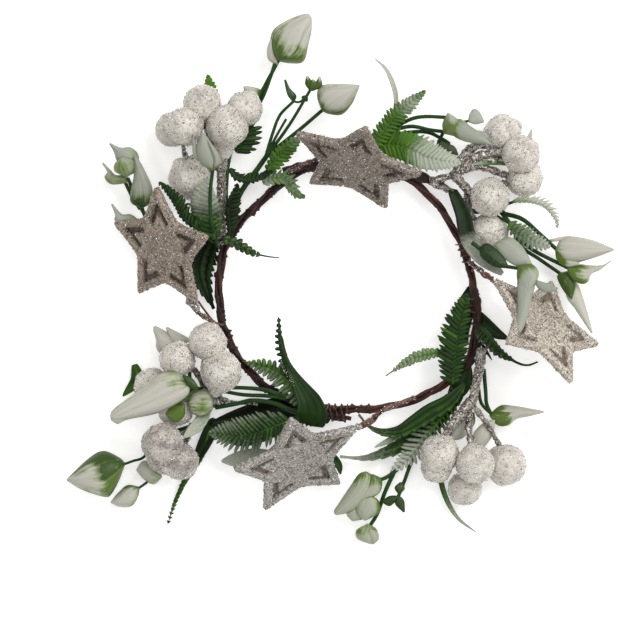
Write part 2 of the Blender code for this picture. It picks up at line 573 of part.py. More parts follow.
def addBerrySprays(group, material):
    """Berries joined to their glittered twigs."""
    for place, spray in SPRAYS.items():
        pieces = [tubeMesh(route, radius) for radius, route in spray["twigs"]]
        pieces += [berryMesh(*berry) for berry in spray["berries"]]
        fuse(f"berry_spray_{place}", pieces, group, material)


def addFronds(group, material):
    """Fern fronds: leaflets cut to the rib in one thin arched blade, thickened by Solidify."""
    for name, (points, left, right, pairs, blunt) in FRONDS.items():
        rib = smoothRoute(points, pairs + 1)
        along = directionsAlong(rib)
        side = np.cross((0, 0, 1.0), along)
        side /= np.linalg.norm(side, axis=1)[:, None]
        share = np.linspace(0, 1, pairs + 1)
        reach = np.sin(math.pi * (0.16 + 0.84 * share)).clip(0) ** 0.75
        half = 0.5 * RIB_WIDTH * (1.05 - 0.6 * share)[:, None]
        arch = np.array((0, 0, -1.0))
        rows = [rib + half * side, rib - half * side]
        points3d = list(rows[0]) + list(rows[1])
        faces = [(i, i + 1, pairs + 2 + i, pairs + 1 + i) for i in range(pairs)]
        for hand, width, row, sign in ((0, left, rows[0], 1.0), (1, right, rows[1], -1.0)):
            for i in range(pairs):
                length = max(width * 0.5 * (reach[i] + reach[i + 1]), LEAFLET_LEAST)
                lean = along[i] * LEAFLET_LEAN + sign * side[i]
                lean /= np.linalg.norm(lean)
                middle = 0.5 * (row[i] + row[i + 1])
                end = middle + length * lean + LEAFLET_DROOP * length * arch
                span = (row[i + 1] - row[i]) * 0.5
                a, b = (pairs + 1) * hand + i, (pairs + 1) * hand + i + 1
                if blunt:
                    points3d += [end - BLUNT_END * span, end + BLUNT_END * span]
                    corner = (a, len(points3d) - 2, len(points3d) - 1, b)
                else:
                    points3d.append(end + POINTED_END * span)
                    corner = (a, len(points3d) - 1, b)
                faces.append(corner if sign > 0 else corner[::-1])
        data = meshFrom(name, points3d, faces)
        thicken(placeObject(name, data, group, material))


def leafSurface(name, points, width):
    """An open blade that swells from its foot to a point, folded a little along its middle."""
    rib = smoothRoute(points, LEAF_ROWS)
    along = directionsAlong(rib)
    side = np.cross((0, 0, 1.0), along)
    side /= np.linalg.norm(side, axis=1)[:, None]
    share = np.linspace(0, 1, LEAF_ROWS)[:, None]
    half = 0.5 * width * np.maximum(np.sin(math.pi * (0.1 + 0.86 * share)) ** 0.8, 0.16)
    fold = np.array((0, 0, LEAF_FOLD)) * half
    grid = np.stack([rib + half * side + fold, rib, rib - half * side + fold], axis=1)
    faces = [(3 * i + j, 3 * i + j + 1, 3 * i + j + 4, 3 * i + j + 3)
             for i in range(LEAF_ROWS - 1) for j in range(2)]
    return meshFrom(name, grid.reshape(-1, 3), faces)


def thicken(item):
    """Give an open blade its thickness."""
    solid = item.modifiers.new("thickness", "SOLIDIFY")
    solid.thickness = BLADE_THICKNESS * MM
    solid.offset = 0


def bladeMesh(points, width):
    """A closed leaf blade, ready to be joined to others."""
    return closedMesh(leafSurface("blade", points, width), thicken)


def closedMesh(data, prepare=None):
    """The evaluated mesh of a curve or a blade, welded and facing out."""
    item = bpy.data.objects.new("piece", data)
    bpy.context.scene.collection.objects.link(item)
    if prepare:
        prepare(item)
    bpy.context.view_layer.update()
    graph = bpy.context.evaluated_depsgraph_get()
    mesh = bpy.data.meshes.new_from_object(item.evaluated_get(graph))
    work = bmesh.new()
    work.from_mesh(mesh)
    bmesh.ops.remove_doubles(work, verts=work.verts, dist=WELD_DISTANCE)
    bmesh.ops.recalc_face_normals(work, faces=work.faces)
    work.to_mesh(mesh)
    work.free()
    bpy.data.objects.remove(item, do_unlink=True)
    return mesh


def addLeaves(group, material):
    """Plain slender leaves."""
    for name, (points, width) in LEAVES.items():
        thicken(placeObject(name, leafSurface(name, points, width), group, material))


def budAxes(base, tip):
    """Length and a frame of directions along and across a bud."""
    base, tip = np.array(base, float), np.array(tip, float)
    length = np.linalg.norm(tip - base)
    along = (tip - base) / length
    side = np.cross((0, 0, 1.0), along)
    side /= np.linalg.norm(side)
    return base, length, along, side, np.cross(along, side)


def budMesh(base, tip, width, isOpen):
    """A closed bud: a turned body swelling from its foot, its three wrapped petals raised as steps.

    An open one ends in a crown: each petal's middle column rises to a tip, and the others stop short.
    """
    base, length, along, side, up = budAxes(base, tip)
    isSmall = width < SMALL_BUD
    swell = np.array(OPEN_SWELL if isOpen else SMALL_SWELL if isSmall else CLOSED_SWELL)[:, None]
    rows, columns = len(swell), 6 if isSmall else 9
    share = np.repeat(np.linspace(0, 1, rows)[:, None], columns, axis=1)
    angle = np.linspace(0, 2 * math.pi, columns, endpoint=False)
    if isOpen:
        isTip = np.arange(columns) % (columns // 3) == 1
        radius = 0.5 * width * swell * np.ones(columns)
        share[rows - 1, ~isTip] = CROWN_NOTCH
        radius[rows - 1, isTip] *= CROWN_TIP
        peak = 0.6
    else:
        wrap = PETAL_STEP * ((3 * angle / (2 * math.pi)) % 1.0)
        radius = 0.5 * width * swell * (1 - wrap * np.sin(math.pi * share))
        peak = 1.03
    ring = np.cos(angle)[:, None] * side + np.sin(angle)[:, None] * up
    grid = base + (share * length)[:, :, None] * along + radius[:, :, None] * ring[None, :, :]
    points = list(grid.reshape(-1, 3)) + [base - 0.02 * length * along, base + peak * length * along]
    foot, point = rows * columns, rows * columns + 1
    faces = []
    for j in range(columns):
        k = (j + 1) % columns
        faces += [(i * columns + j, i * columns + k, (i + 1) * columns + k, (i + 1) * columns + j)
                  for i in range(rows - 1)]
        faces += [(foot, k, j), (point, (rows - 1) * columns + j, (rows - 1) * columns + k)]
    return meshFrom("bud", points, faces)


def petalMesh(base, tip, width, roll):
    """One loose petal: an arched blade from the bud's foot that leans away at its tip."""
    base, length, along, side, up = budAxes(base, tip)
    out = math.cos(roll) * side + math.sin(roll) * up
    across = np.cross(along, out)
    points = []
    for share, stand, spread in PETAL_ROWS:
        middle = base + share * length * along + stand * width * out
        for hand in (-1, 0, 1):
            points.append(middle + spread * width * (hand * across - abs(hand) * PETAL_CUP * out))
    faces = [(3 * i + j, 3 * i + j + 1, 3 * i + j + 4, 3 * i + j + 3) for i in range(2) for j in range(2)]
    outer = np.array(points)
    inner = outer - BLADE_THICKNESS * out
    count = len(outer)
    back = [tuple(count + v for v in face[::-1]) for face in faces]
    rim = [0, 1, 2, 5, 8, 7, 6, 3]
    walls = [(rim[i], rim[(i + 1) % 8], count + rim[(i + 1) % 8], count + rim[i]) for i in range(8)]
    return meshFrom("petal", np.vstack([outer, inner]), faces + back + walls)


def addBudSprays(group, material):
    """Stems that share a root, with their buds and loose petals, joined into one body each."""
    for name, spray in BUD_SPRAYS.items():
        pieces = [tubeMesh(route, radius) for radius, route in spray["stems"]]
        pieces += [bladeMesh(points, width) for points, width in spray.get("blades", [])]
        for base, tip, width, isOpen, rolls in spray["buds"]:
            pieces.append(budMesh(base, tip, width, isOpen))
            pieces += [petalMesh(base, tip, width, math.radians(roll)) for roll in rolls]
        fuse(name, pieces, group, material)


def centreOnFloor(group, anchor):
    """Move the anchor so that the wreath's box is centred in plan and stands on Z = 0."""
    bpy.context.view_layer.update()
    graph = bpy.context.evaluated_depsgraph_get()
    corners = []
    for item in group.objects:
        if item.type in {"MESH", "CURVE"}:
            ready = item.evaluated_get(graph)
            mesh = ready.to_mesh()
            places = np.empty(3 * len(mesh.vertices))
            mesh.vertices.foreach_get("co", places)
            turn, shift = np.array(item.matrix_world.to_3x3()), np.array(item.matrix_world.translation)
            world = places.reshape(-1, 3) @ turn.T + shift
            corners += [world.min(axis=0), world.max(axis=0)]
            ready.to_mesh_clear()
    low, high = np.min(corners, axis=0), np.max(corners, axis=0)
    anchor.location = (-(low[0] + high[0]) / 2, -(low[1] + high[1]) / 2, -low[2])


def main():
    """Build the wreath."""
    clearScene()
    group = makeCollection("christmas_candle_wreath")
    vine = makeMaterial("vine_brown", (0.045, 0.018, 0.013), 0.7)
    wire = makeMaterial("binding_brown", (0.09, 0.035, 0.025), 0.5)
    glitter = makeMaterial("star_glitter", (0.38, 0.34, 0.3), 0.45)
    stemWire = makeMaterial("stem_wire", (0.12, 0.08, 0.06), 0.6)
    berry = makeMaterial("berry_frost", (0.62, 0.58, 0.53), 0.5)
    fern = makeMaterial("fern_green", (0.05, 0.16, 0.06), 0.55)
    leaf = makeMaterial("leaf_green", (0.2, 0.32, 0.2), 0.55)
    petal = makeMaterial("petal_white", (0.62, 0.64, 0.58), 0.5)
    addVineRing(group, vine)
    addBindings(group, wire)
    addStars(group, glitter)
    addStarStems(group, stemWire)
    addBerrySprays(group, berry)
    addFronds(group, fern)
    addLeaves(group, leaf)
    addBudSprays(group, petal)
    anchor = bpy.data.objects.new("wreath_centre", None)
    group.objects.link(anchor)
    for item in list(group.objects):
        if item is not anchor:
            item.parent = anchor
    centreOnFloor(group, anchor)


main()
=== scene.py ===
# Christmas wreath: glitter stars, frosted berries, fern and tulip buds wired to a twisted vine ring.
import json
import math

import bpy
import numpy as np
from mathutils import Matrix, Vector

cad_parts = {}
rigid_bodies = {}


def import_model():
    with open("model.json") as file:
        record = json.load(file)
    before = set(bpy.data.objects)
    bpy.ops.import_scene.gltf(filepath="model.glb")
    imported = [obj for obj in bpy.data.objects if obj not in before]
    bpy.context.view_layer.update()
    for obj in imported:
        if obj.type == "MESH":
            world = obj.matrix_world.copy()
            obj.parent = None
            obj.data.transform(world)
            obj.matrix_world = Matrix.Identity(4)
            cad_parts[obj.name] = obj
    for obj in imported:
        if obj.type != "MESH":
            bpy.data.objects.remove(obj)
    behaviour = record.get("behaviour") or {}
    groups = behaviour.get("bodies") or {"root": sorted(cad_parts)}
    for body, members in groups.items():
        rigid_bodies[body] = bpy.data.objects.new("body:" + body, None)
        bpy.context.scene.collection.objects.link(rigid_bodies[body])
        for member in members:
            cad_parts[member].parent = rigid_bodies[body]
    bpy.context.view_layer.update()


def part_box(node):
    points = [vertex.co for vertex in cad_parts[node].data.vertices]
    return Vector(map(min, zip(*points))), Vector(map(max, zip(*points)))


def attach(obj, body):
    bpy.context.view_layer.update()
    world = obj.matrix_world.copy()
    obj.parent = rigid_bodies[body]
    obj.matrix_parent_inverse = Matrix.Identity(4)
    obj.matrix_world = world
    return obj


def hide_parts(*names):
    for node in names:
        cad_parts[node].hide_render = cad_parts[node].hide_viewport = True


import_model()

# Places below are in millimetres: X to the right, Y away from the viewer, Z up from the table.
mm = 0.001
layout = {"shift": (0.1995, -0.5757, 0.0), "level": 7.0}    # drawing to packed wreath; height of the ring
# The first number of each run of random draws, and the step from one star or spray to the next.
seeds = {"vine": 7, "vineWobble": 11, "stubLump": 50, "stubBend": 60, "plate": 100, "ledge": 150,
         "starFlakes": 200, "nuggets": 240, "nuggetFlakes": 270, "starWire": 300, "starWireFlakes": 310,
         "berries": 400, "twigs": 500, "berryFlakes": 600, "twigFlakes": 620, "grains": 640, "fronds": 700,
         "starStep": 10, "sprayStep": 20}


def unit(rows):
    # each vector over its own length
    return rows / np.maximum(np.linalg.norm(rows, axis=-1, keepdims=True), 1e-9)


def ease(low, high, value):
    # 3x^2 - 2x^3 of the share of the way from low to high
    x = np.clip((value - low) / (high - low), 0, 1)
    return x * x * (3 - 2 * x)


def waves(points, size, seed, count=20):
    # lumps about size mm across: sines along random headings, added up and scaled to about -1 to 1
    pick = np.random.default_rng(seed)
    pace = 2 * math.pi / (size * pick.uniform(1.5, 2.6, (count, 1)))
    heading = unit(pick.normal(size=(count, 3))) * pace
    return np.sin(points @ heading.T + pick.uniform(0, 6.28, count)).sum(-1) / math.sqrt(count)


def smoothRoute(knots, count, closed=False):
    # Catmull-Rom, 0.5(2b + (c-a)t + (2a-5b+4c-d)t^2 + (3b-a-3c+d)t^3) from b to c, read again at even steps
    knots = np.array(knots, float)
    if closed:
        padded = np.vstack([knots[-1:], knots, knots[:2]])
    else:
        padded = np.vstack([2 * knots[:1] - knots[1:2], knots, 2 * knots[-1:] - knots[-2:-1]])
    a, b, c, d = (padded[i:len(padded) - 3 + i, None, :] for i in range(4))
    t = np.linspace(0, 1, 24, endpoint=False)[None, :, None]
    line = 0.5 * (2 * b + (c - a) * t + (2 * a - 5 * b + 4 * c - d) * t**2
                  + (3 * b - a - 3 * c + d) * t**3)
    line = np.vstack([line.reshape(-1, knots.shape[1]), padded[-2:-1]])
    walked = np.concatenate([[0], np.cumsum(np.linalg.norm(np.diff(line, axis=0), axis=1))])
    wanted = np.linspace(0, walked[-1], count + 1 if closed else count)
    route = np.column_stack([np.interp(wanted, walked, line[:, k]) for k in range(knots.shape[1])])
    return route[:-1] if closed else route


def routeFrame(route, closed=False):
    # unit vectors along a route, level across it (up x ahead, so to its left), and square to both
    ahead = np.roll(route, -1, 0) - np.roll(route, 1, 0) if closed else np.gradient(route, axis=0)
    ahead = unit(ahead)
    left = unit(np.cross((0, 0, 1.0), ahead))
    return ahead, left, np.cross(ahead, left)


def routeLength(route):
    return np.linalg.norm(np.diff(route, axis=0), axis=1).sum()


def wrapGrid(grid, closed=False, **marks):
    # a grid whose columns run round a body: quads between rows, and a fan to a pole at each end
    rows, columns = grid.shape[:2]
    index = np.arange(rows * columns).reshape(rows, columns)
    here = index if closed else index[:-1]
    after = np.roll(index, -1, 0) if closed else index[1:]
    quads = np.stack([here, np.roll(here, -1, 1), np.roll(after, -1, 1), after], -1).reshape(-1, 4)
    points = grid.reshape(-1, 3)
    tris = np.empty((0, 3), int)
    flat = {k: np.broadcast_to(v, (rows, columns)).astype(float) for k, v in marks.items()}
    if closed:
        marks = {k: v.ravel() for k, v in flat.items()}
        return {"points": points, "quads": quads, "tris": tris, "marks": marks}
    foot = np.full(columns, rows * columns)
    tris = np.vstack([np.stack([foot, np.roll(index[0], -1), index[0]], -1),
                      np.stack([foot + 1, index[-1], np.roll(index[-1], -1)], -1)])
    points = np.vstack([points, grid[0].mean(0), grid[-1].mean(0)])
    ends = {k: np.concatenate([v.ravel(), [v[0].mean(), v[-1].mean()]]) for k, v in flat.items()}
    return {"points": points, "quads": quads, "tris": tris, "marks": ends}


def tube(route, radius, sides, closed=False, relief=0.0, **marks):
    # p(s, a) = route(s) + (r(s) + relief(s, a)) (cos a left + sin a upright)
    left, upright = routeFrame(route, closed)[1:]
    angle = np.linspace(0, 2 * math.pi, sides, endpoint=False)[None, :, None]
    reach = (np.broadcast_to(radius, len(route))[:, None] + relief) * np.ones(sides)
    out = np.cos(angle) * left[:, None] + np.sin(angle) * upright[:, None]
    return wrapGrid(route[:, None] + reach[:, :, None] * out, closed, **marks)


def sheets(grids, thickness, **marks):
    # thin closed blades: each grid is set half the thickness along and against its normal, and a rim
    # joins the two faces
    count, rows, columns = grids.shape[:3]
    size = rows * columns
    normal = unit(np.cross(np.gradient(grids, axis=1), np.gradient(grids, axis=2)))
    half = 0.5 * thickness * normal
    points = np.stack([grids + half, grids - half], 1).reshape(-1, 3)
    index = np.arange(size).reshape(rows, columns)
    top = np.stack([index[:-1, :-1], index[1:, :-1], index[1:, 1:], index[:-1, 1:]], -1).reshape(-1, 4)
    edge = np.concatenate([index[:-1, 0], index[-1, :-1], index[:0:-1, -1], index[0, :0:-1]])
    after = np.roll(edge, -1)
    rim = np.stack([edge + size, after + size, after, edge], -1)
    faces = np.vstack([top, top[:, ::-1] + size, rim])
    quads = (faces[None] + (np.arange(count) * 2 * size)[:, None, None]).reshape(-1, 4)
    flat = {k: np.broadcast_to(v, (count, rows, columns)).reshape(count, 1, size) for k, v in marks.items()}
    both = {k: np.repeat(v, 2, 1).ravel() for k, v in flat.items()}
    return {"points": points, "quads": quads, "tris": np.empty((0, 3), int), "marks": both}


def joinShells(shells):
    # shells stacked into one, each one's faces moved past the points before it
    starts = np.cumsum([0] + [len(s["points"]) for s in shells[:-1]])
    names = sorted({k for s in shells for k in s["marks"]})
    return {
        "points": np.vstack([s["points"] for s in shells]),
        "quads": np.vstack([s["quads"] + k for s, k in zip(shells, starts)]),
        "tris": np.vstack([s["tris"] + k for s, k in zip(shells, starts)]),
        "marks": {n: np.concatenate([s["marks"].get(n, np.zeros(len(s["points"]))) for s in shells])
                  for n in names},
    }


def addPiece(name, shells, material, nodes=()):
    # one mesh in metres from the shells, shaded smooth, with its marks as point attributes
    body = joinShells(shells)
    mesh = bpy.data.meshes.new(name)
    places = (body["points"] + np.array(layout["shift"])) * mm
    places[:, 2] = np.maximum(places[:, 2], 0.0)    # nothing dips below the table
    mesh.from_pydata(places.tolist(), [], body["quads"].tolist() + body["tris"].tolist())
    for key, values in body["marks"].items():
        mesh.attributes.new(key, "FLOAT", "POINT").data.foreach_set("value", values.astype(np.float32))
    mesh.materials.append(material)
    mesh.shade_smooth()
    piece = bpy.data.objects.new(name, mesh)
    bpy.context.scene.collection.objects.link(piece)
    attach(piece, "root")
    if nodes:
        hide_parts(*nodes)


def scatterFlakes(shells, form, count, seed):
    # glitter: places drawn evenly over the shells' area, each a small square plate that leans by tilt times
    # a random vector, over a point sunk in the glue
    body = joinShells(shells)
    pick = np.random.default_rng(seed)
    lift = 0.1
    faces = np.vstack([body["quads"][:, [0, 1, 2]], body["quads"][:, [0, 2, 3]], body["tris"]])
    a, b, c = (body["points"][faces[:, k]] for k in range(3))
    square = np.cross(b - a, c - a)
    area = np.linalg.norm(square, axis=1)
    chosen = pick.choice(len(faces), count, p=area / area.sum())
    u, v = pick.random((2, count, 1))
    over = u + v > 1
    u, v = np.where(over, 1 - u, u), np.where(over, 1 - v, v)
    normal = unit(square[chosen])
    place = a[chosen] + u * (b - a)[chosen] + v * (c - a)[chosen] + lift * normal
    facing = unit(normal + form["flakeTilt"] * pick.normal(size=(count, 3)))
    side = unit(np.cross(facing, pick.normal(size=(count, 3))))
    other = np.cross(facing, side)
    reach = 0.5 * form["flakeSize"] * pick.uniform(0.6, 1.3, (count, 1))
    corners = [place + reach * (x * side + y * other) for x, y in ((1, 0), (0, 1), (-1, 0), (0, -1))]
    points = np.stack(corners + [place - 3 * lift * normal], 1).reshape(-1, 3)
    first = (np.arange(count) * 5)[:, None]
    quads = first + np.arange(4)
    tris = (first[:, None] + np.array([(4, (k + 1) % 4, k) for k in range(4)])).reshape(-1, 3)
    sparkle = np.repeat(pick.random(count), 5)
    return [{"points": points, "quads": quads, "tris": tris, "marks": {"sparkle": sparkle}}]


def hexColour(text):
    # sRGB hex to linear: c / 12.92 up to 0.04045, else ((c + 0.055) / 1.055)^2.4
    parts = np.array([int(text[i:i + 2], 16) for i in (1, 3, 5)]) / 255
    linear = np.where(parts <= 0.04045, parts / 12.92, ((parts + 0.055) / 1.055) ** 2.4)
    return (*linear.tolist(), 1.0)


def addNode(m, kind, inputs=None, **settings):
    # a node of material m with its settings; an input is a number, a colour or another node's output
    node = m.node_tree.nodes.new(kind)
    for key, value in settings.items():
        if key == "stops":
            ramp = node.color_ramp
            while len(ramp.elements) < len(value):
                ramp.elements.new(0.5)
            for stop, (place, colour) in zip(ramp.elements, value):
                stop.position = place
                stop.color = hexColour(colour)
        else:
            setattr(node, key, value)
    for key, value in (inputs or {}).items():
        if isinstance(value, bpy.types.NodeSocket):
            m.node_tree.links.new(value, node.inputs[key])
        else:
            node.inputs[key].default_value = hexColour(value) if isinstance(value, str) else value
    return node


def perMetre(size):
    # pattern scale on Object coordinates for features of this size in mm
    return 1 / (size * mm)


def startFinish(name):
    m = bpy.data.materials.new(name)
    m.use_nodes = True
    m.node_tree.nodes.clear()
    return m


def endFinish(m, look, inputs):
    # the surface, with what the look says of its shine
    shine = {"roughness": "Roughness", "metallic": "Metallic", "specular": "Specular IOR Level"}
    shining = {socket: look[key] for key, socket in shine.items() if key in look}
    shader = addNode(m, "ShaderNodeBsdfPrincipled", {**inputs, **shining})
    addNode(m, "ShaderNodeOutputMaterial", {"Surface": shader.outputs[0]})
    return m


# Dried grapevine, dyed dark: reddish brown with paler lengthwise fibres and a dull, slightly waxy skin.
vineLook = {"tones": [(0.5, "#0d0504"), (0.76, "#2a120d"), (1.0, "#5e3425")], "fibreLength": 5.0,
            "fibreWidth": 0.3, "patch": 9.0, "patchShare": 0.45, "patchStart": -0.02, "redShare": 0.12,
            "roughness": 0.5, "specular": 0.25, "relief": 0.3, "reliefStrength": 0.7}


def vineFinish(look):
    # tone = fibre + patchShare patch + patchStart + redShare red
    m = startFinish("dyed grapevine bark")
    along, around, red = (addNode(m, "ShaderNodeAttribute", attribute_name=key).outputs["Fac"]
                          for key in ("along", "round", "red"))
    u = addNode(m, "ShaderNodeMath", {0: along, 1: look["fibreLength"]}, operation="DIVIDE").outputs[0]
    v = addNode(m, "ShaderNodeMath", {0: around, 1: look["fibreWidth"]}, operation="DIVIDE").outputs[0]
    flat = addNode(m, "ShaderNodeCombineXYZ", {"X": u, "Y": v}).outputs[0]
    fibre = addNode(m, "ShaderNodeTexNoise", {"Vector": flat, "Scale": 1.0, "Detail": 4.0,
                                              "Roughness": 0.6}).outputs["Fac"]
    place = addNode(m, "ShaderNodeTexCoord").outputs["Object"]
    patch = addNode(m, "ShaderNodeTexNoise", {"Vector": place, "Scale": perMetre(look["patch"]),
                                              "Detail": 3.0}).outputs["Fac"]
    patch = addNode(m, "ShaderNodeMath", {0: patch, 1: look["patchShare"], 2: look["patchStart"]},
                    operation="MULTIPLY_ADD").outputs[0]
    tone = addNode(m, "ShaderNodeMath", {0: patch, 1: fibre}, operation="ADD").outputs[0]
    tone = addNode(m, "ShaderNodeMath", {0: red, 1: look["redShare"], 2: tone},
                   operation="MULTIPLY_ADD").outputs[0]
    skin = addNode(m, "ShaderNodeValToRGB", {0: tone}, stops=look["tones"]).outputs[0]
    bump = addNode(m, "ShaderNodeBump", {"Height": fibre, "Strength": look["reliefStrength"],
                                         "Distance": look["relief"] * mm}).outputs[0]
    return endFinish(m, look, {"Base Color": skin, "Normal": bump})


# Lacquered florist's wire: thin, rosy brown, with a satin shine along it.
wireLook = {"tones": [(0.35, "#2e1813"), (0.7, "#7d5548")], "patch": 3.0, "roughness": 0.35, "metallic": 0.3}


def wireFinish(look):
    m = startFinish("lacquered florist wire")
    place = addNode(m, "ShaderNodeTexCoord").outputs["Object"]
    patch = addNode(m, "ShaderNodeTexNoise", {"Vector": place, "Scale": perMetre(look["patch"]),
                                              "Detail": 3.0}).outputs["Fac"]
    skin = addNode(m, "ShaderNodeValToRGB", {0: patch}, stops=look["tones"]).outputs[0]
    return endFinish(m, look, {"Base Color": skin})


# Foam board rolled in champagne glitter: a bed of tiny plates, each its own tone and each tipped its own
# way. The real plates are 0.2 mm; they are drawn 0.6 mm wide, since finer ones would be lost in the render.
bedLook = {"plate": 0.6, "tip": 0.45, "roughness": 0.5, "metallic": 0.1, "patch": 11.0,
           "patchTones": (0.3, 0.7, 0.85, 1.1),
           "tones": [(0.0, "#746b64"), (0.2, "#bdb8b3"), (0.75, "#dedbd7"), (1.0, "#ffffff")]}
# Wrapped twigs carry coarser glitter with more of a mirror to it.
rodLook = {**bedLook, "tip": 0.7, "metallic": 0.35, "roughness": 0.3,
           "tones": [(0.0, "#4c4540"), (0.35, "#a39c96"), (0.7, "#d8d5d0"), (1.0, "#ffffff")]}


def bedFinish(name, look, tintAndPaintedLight):
    # colour = tone(draw) tint patch; normal = unit(normal + tip (draw - 0.5))
    m = startFinish(name)
    place = addNode(m, "ShaderNodeTexCoord").outputs["Object"]
    plates = addNode(m, "ShaderNodeTexVoronoi", {"Vector": place, "Scale": perMetre(look["plate"])}).outputs
    draw = addNode(m, "ShaderNodeSeparateColor", {0: plates["Color"]}).outputs[0]
    tone = addNode(m, "ShaderNodeValToRGB", {0: draw}, stops=look["tones"]).outputs[0]
    # the colour given is the glitter's own; for the stars and their grooves it also holds painted light and
    # painted shade, for the twigs their own colour only
    dyed = addNode(m, "ShaderNodeMix", {0: 1.0, 6: tone, 7: tintAndPaintedLight}, data_type="RGBA",
                   blend_type="MULTIPLY").outputs[2]
    patch = addNode(m, "ShaderNodeTexNoise", {"Vector": place, "Scale": perMetre(look["patch"]),
                                              "Detail": 2.0}).outputs["Fac"]
    ends = dict(zip(("From Min", "From Max", "To Min", "To Max"), look["patchTones"]))
    patch = addNode(m, "ShaderNodeMapRange", {"Value": patch, **ends}).outputs[0]
    skin = addNode(m, "ShaderNodeVectorMath", {0: dyed, "Scale": patch}, operation="SCALE").outputs[0]
    tip = addNode(m, "ShaderNodeVectorMath", {0: plates["Color"], 1: (0.5, 0.5, 0.5)},
                  operation="SUBTRACT").outputs[0]
    tip = addNode(m, "ShaderNodeVectorMath", {0: tip, "Scale": look["tip"]}, operation="SCALE").outputs[0]
    normal = addNode(m, "ShaderNodeNewGeometry").outputs["Normal"]
    tipped = addNode(m, "ShaderNodeVectorMath", {0: normal, 1: tip}, operation="ADD").outputs[0]
    facing = addNode(m, "ShaderNodeVectorMath", {0: tipped}, operation="NORMALIZE").outputs[0]
    return endFinish(m, look, {"Base Color": skin, "Normal": facing})


# Loose plates of metallised film on top of the bed. Each is a small mirror: most reflect the room and blend
# with the bed, those that face a lamp flash white, and a few show their dark backs.
starFlakeLook = {"tones": [(0.0, "#30261f"), (0.07, "#7d7268"), (0.14, "#aa9e92"), (0.74, "#c2b7aa"),
                           (0.92, "#ffffff")], "roughness": 0.12, "metallic": 1.0}
# The bottom star carries a cooler film than the top and left ones; the right star's paler film is painted
# light, as that star faces the key lamp.
silverFlakeLook = {"tones": [(0.0, "#7a7672"), (0.03, "#a7a39d"), (0.08, "#b8b4ad"), (0.74, "#c2beb6"),
                             (0.9, "#ffffff")], "roughness": 0.16, "metallic": 1.0}
paintedLitFlakeLook = {"tones": [(0.0, "#4e463f"), (0.04, "#938a81"), (0.09, "#bdb5ab"), (0.8, "#d0c8be"),
                           (1.0, "#ffffff")], "roughness": 0.14, "metallic": 1.0}
# Clear frost on the berries is nearly white, and the film on the twigs is a darker silver.
berryFlakeLook = {"tones": [(0.0, "#6a584e"), (0.05, "#a89e95"), (0.1, "#ded8d0"), (0.6, "#eeeae4"),
                            (1.0, "#ffffff")], "roughness": 0.14, "metallic": 1.0}
twigFlakeLook = {"tones": [(0.0, "#3a3232"), (0.15, "#8d8680"), (0.5, "#cdc9c3"), (1.0, "#ffffff")],
                 "roughness": 0.16, "metallic": 1.0}


def flakeFinish(name, look):
    m = startFinish(name)
    sparkle = addNode(m, "ShaderNodeAttribute", attribute_name="sparkle").outputs["Fac"]
    skin = addNode(m, "ShaderNodeValToRGB", {0: sparkle}, stops=look["tones"]).outputs[0]
    return endFinish(m, look, {"Base Color": skin})


# Foam berries dipped in clear glue and fine glass beads: milky cream with grey clouds, a pebbly skin, and
# dark pin specks where the glue holds dust. The beads are drawn 0.85 mm wide so that they show.
berryLook = {"tones": [(0.42, "#a49d97"), (0.56, "#bdb7ae"), (0.72, "#ccc7bd")], "cloud": 5.0,
             "speck": "#5a4a42", "speckSize": 1.5, "speckShare": 0.06, "speckReach": 0.17, "bead": 0.85,
             "beadShare": 0.22, "roughness": 0.3, "relief": 0.3, "reliefStrength": 0.8}
# The western berries show more specks, and those under them are greyer.
speckledLook = {**berryLook, "speckShare": 0.2}
greyerBerryLook = {**speckledLook, "tones": [(0.42, "#7a726c"), (0.56, "#979089"), (0.72, "#b9b3ab")]}


def berryFinish(name, look):
    # tone = cloud + beadShare draw; a speck lies within speckReach of the middle of a share of the cells
    m = startFinish(name)
    place = addNode(m, "ShaderNodeTexCoord").outputs["Object"]
    beads, specks = (addNode(m, "ShaderNodeTexVoronoi", {"Vector": place, "Scale": perMetre(size)}).outputs
                     for size in (look["bead"], look["speckSize"]))
    beadDraw, speckDraw = (addNode(m, "ShaderNodeSeparateColor", {0: cell["Color"]}).outputs[0]
                           for cell in (beads, specks))
    cloud = addNode(m, "ShaderNodeTexNoise", {"Vector": place, "Scale": perMetre(look["cloud"]),
                                              "Detail": 4.0, "Roughness": 0.6}).outputs["Fac"]
    tone = addNode(m, "ShaderNodeMath", {0: beadDraw, 1: look["beadShare"], 2: cloud},
                   operation="MULTIPLY_ADD").outputs[0]
    skin = addNode(m, "ShaderNodeValToRGB", {0: tone}, stops=look["tones"]).outputs[0]
    few, near = (addNode(m, "ShaderNodeMath", {0: value, 1: limit}, operation="LESS_THAN").outputs[0]
                 for value, limit in ((speckDraw, look["speckShare"]),
                                      (specks["Distance"], look["speckReach"])))
    speck = addNode(m, "ShaderNodeMath", {0: few, 1: near}, operation="MULTIPLY").outputs[0]
    skin = addNode(m, "ShaderNodeMix", {0: speck, 6: skin, 7: look["speck"]}, data_type="RGBA").outputs[2]
    bump = addNode(m, "ShaderNodeBump", {"Height": beads["Distance"], "Strength": look["reliefStrength"],
                                         "Distance": look["relief"] * mm}, invert=True).outputs[0]
    return endFinish(m, look, {"Base Color": skin, "Normal": bump})


# Moulded polyethylene foliage: deep green with paler tips, a soft waxy shine, and powdered frost where the
# mark says so.
# The shade mark holds each piece's own tone and also painted light and painted shade: lighter ridges, darker
# feet, webs and notches.
fernLook = {"tones": [(0.15, "#0a1204"), (0.5, "#1b350d"), (1.0, "#507824")], "frost": "#a9ac9f",
            "roughness": 0.45, "specular": 0.16, "cloud": 5.0, "cloudShare": 0.4, "powder": 0.9,
            "powderShare": 0.5, "powderStart": -0.25, "cover": (0.13, 0.9), "relief": 0.1,
            "reliefStrength": 0.25}
# Stems are smoother and of a plainer green.
stemLook = {**fernLook, "tones": [(0.15, "#0a1a06"), (0.5, "#173210"), (1.0, "#336026")], "roughness": 0.35}


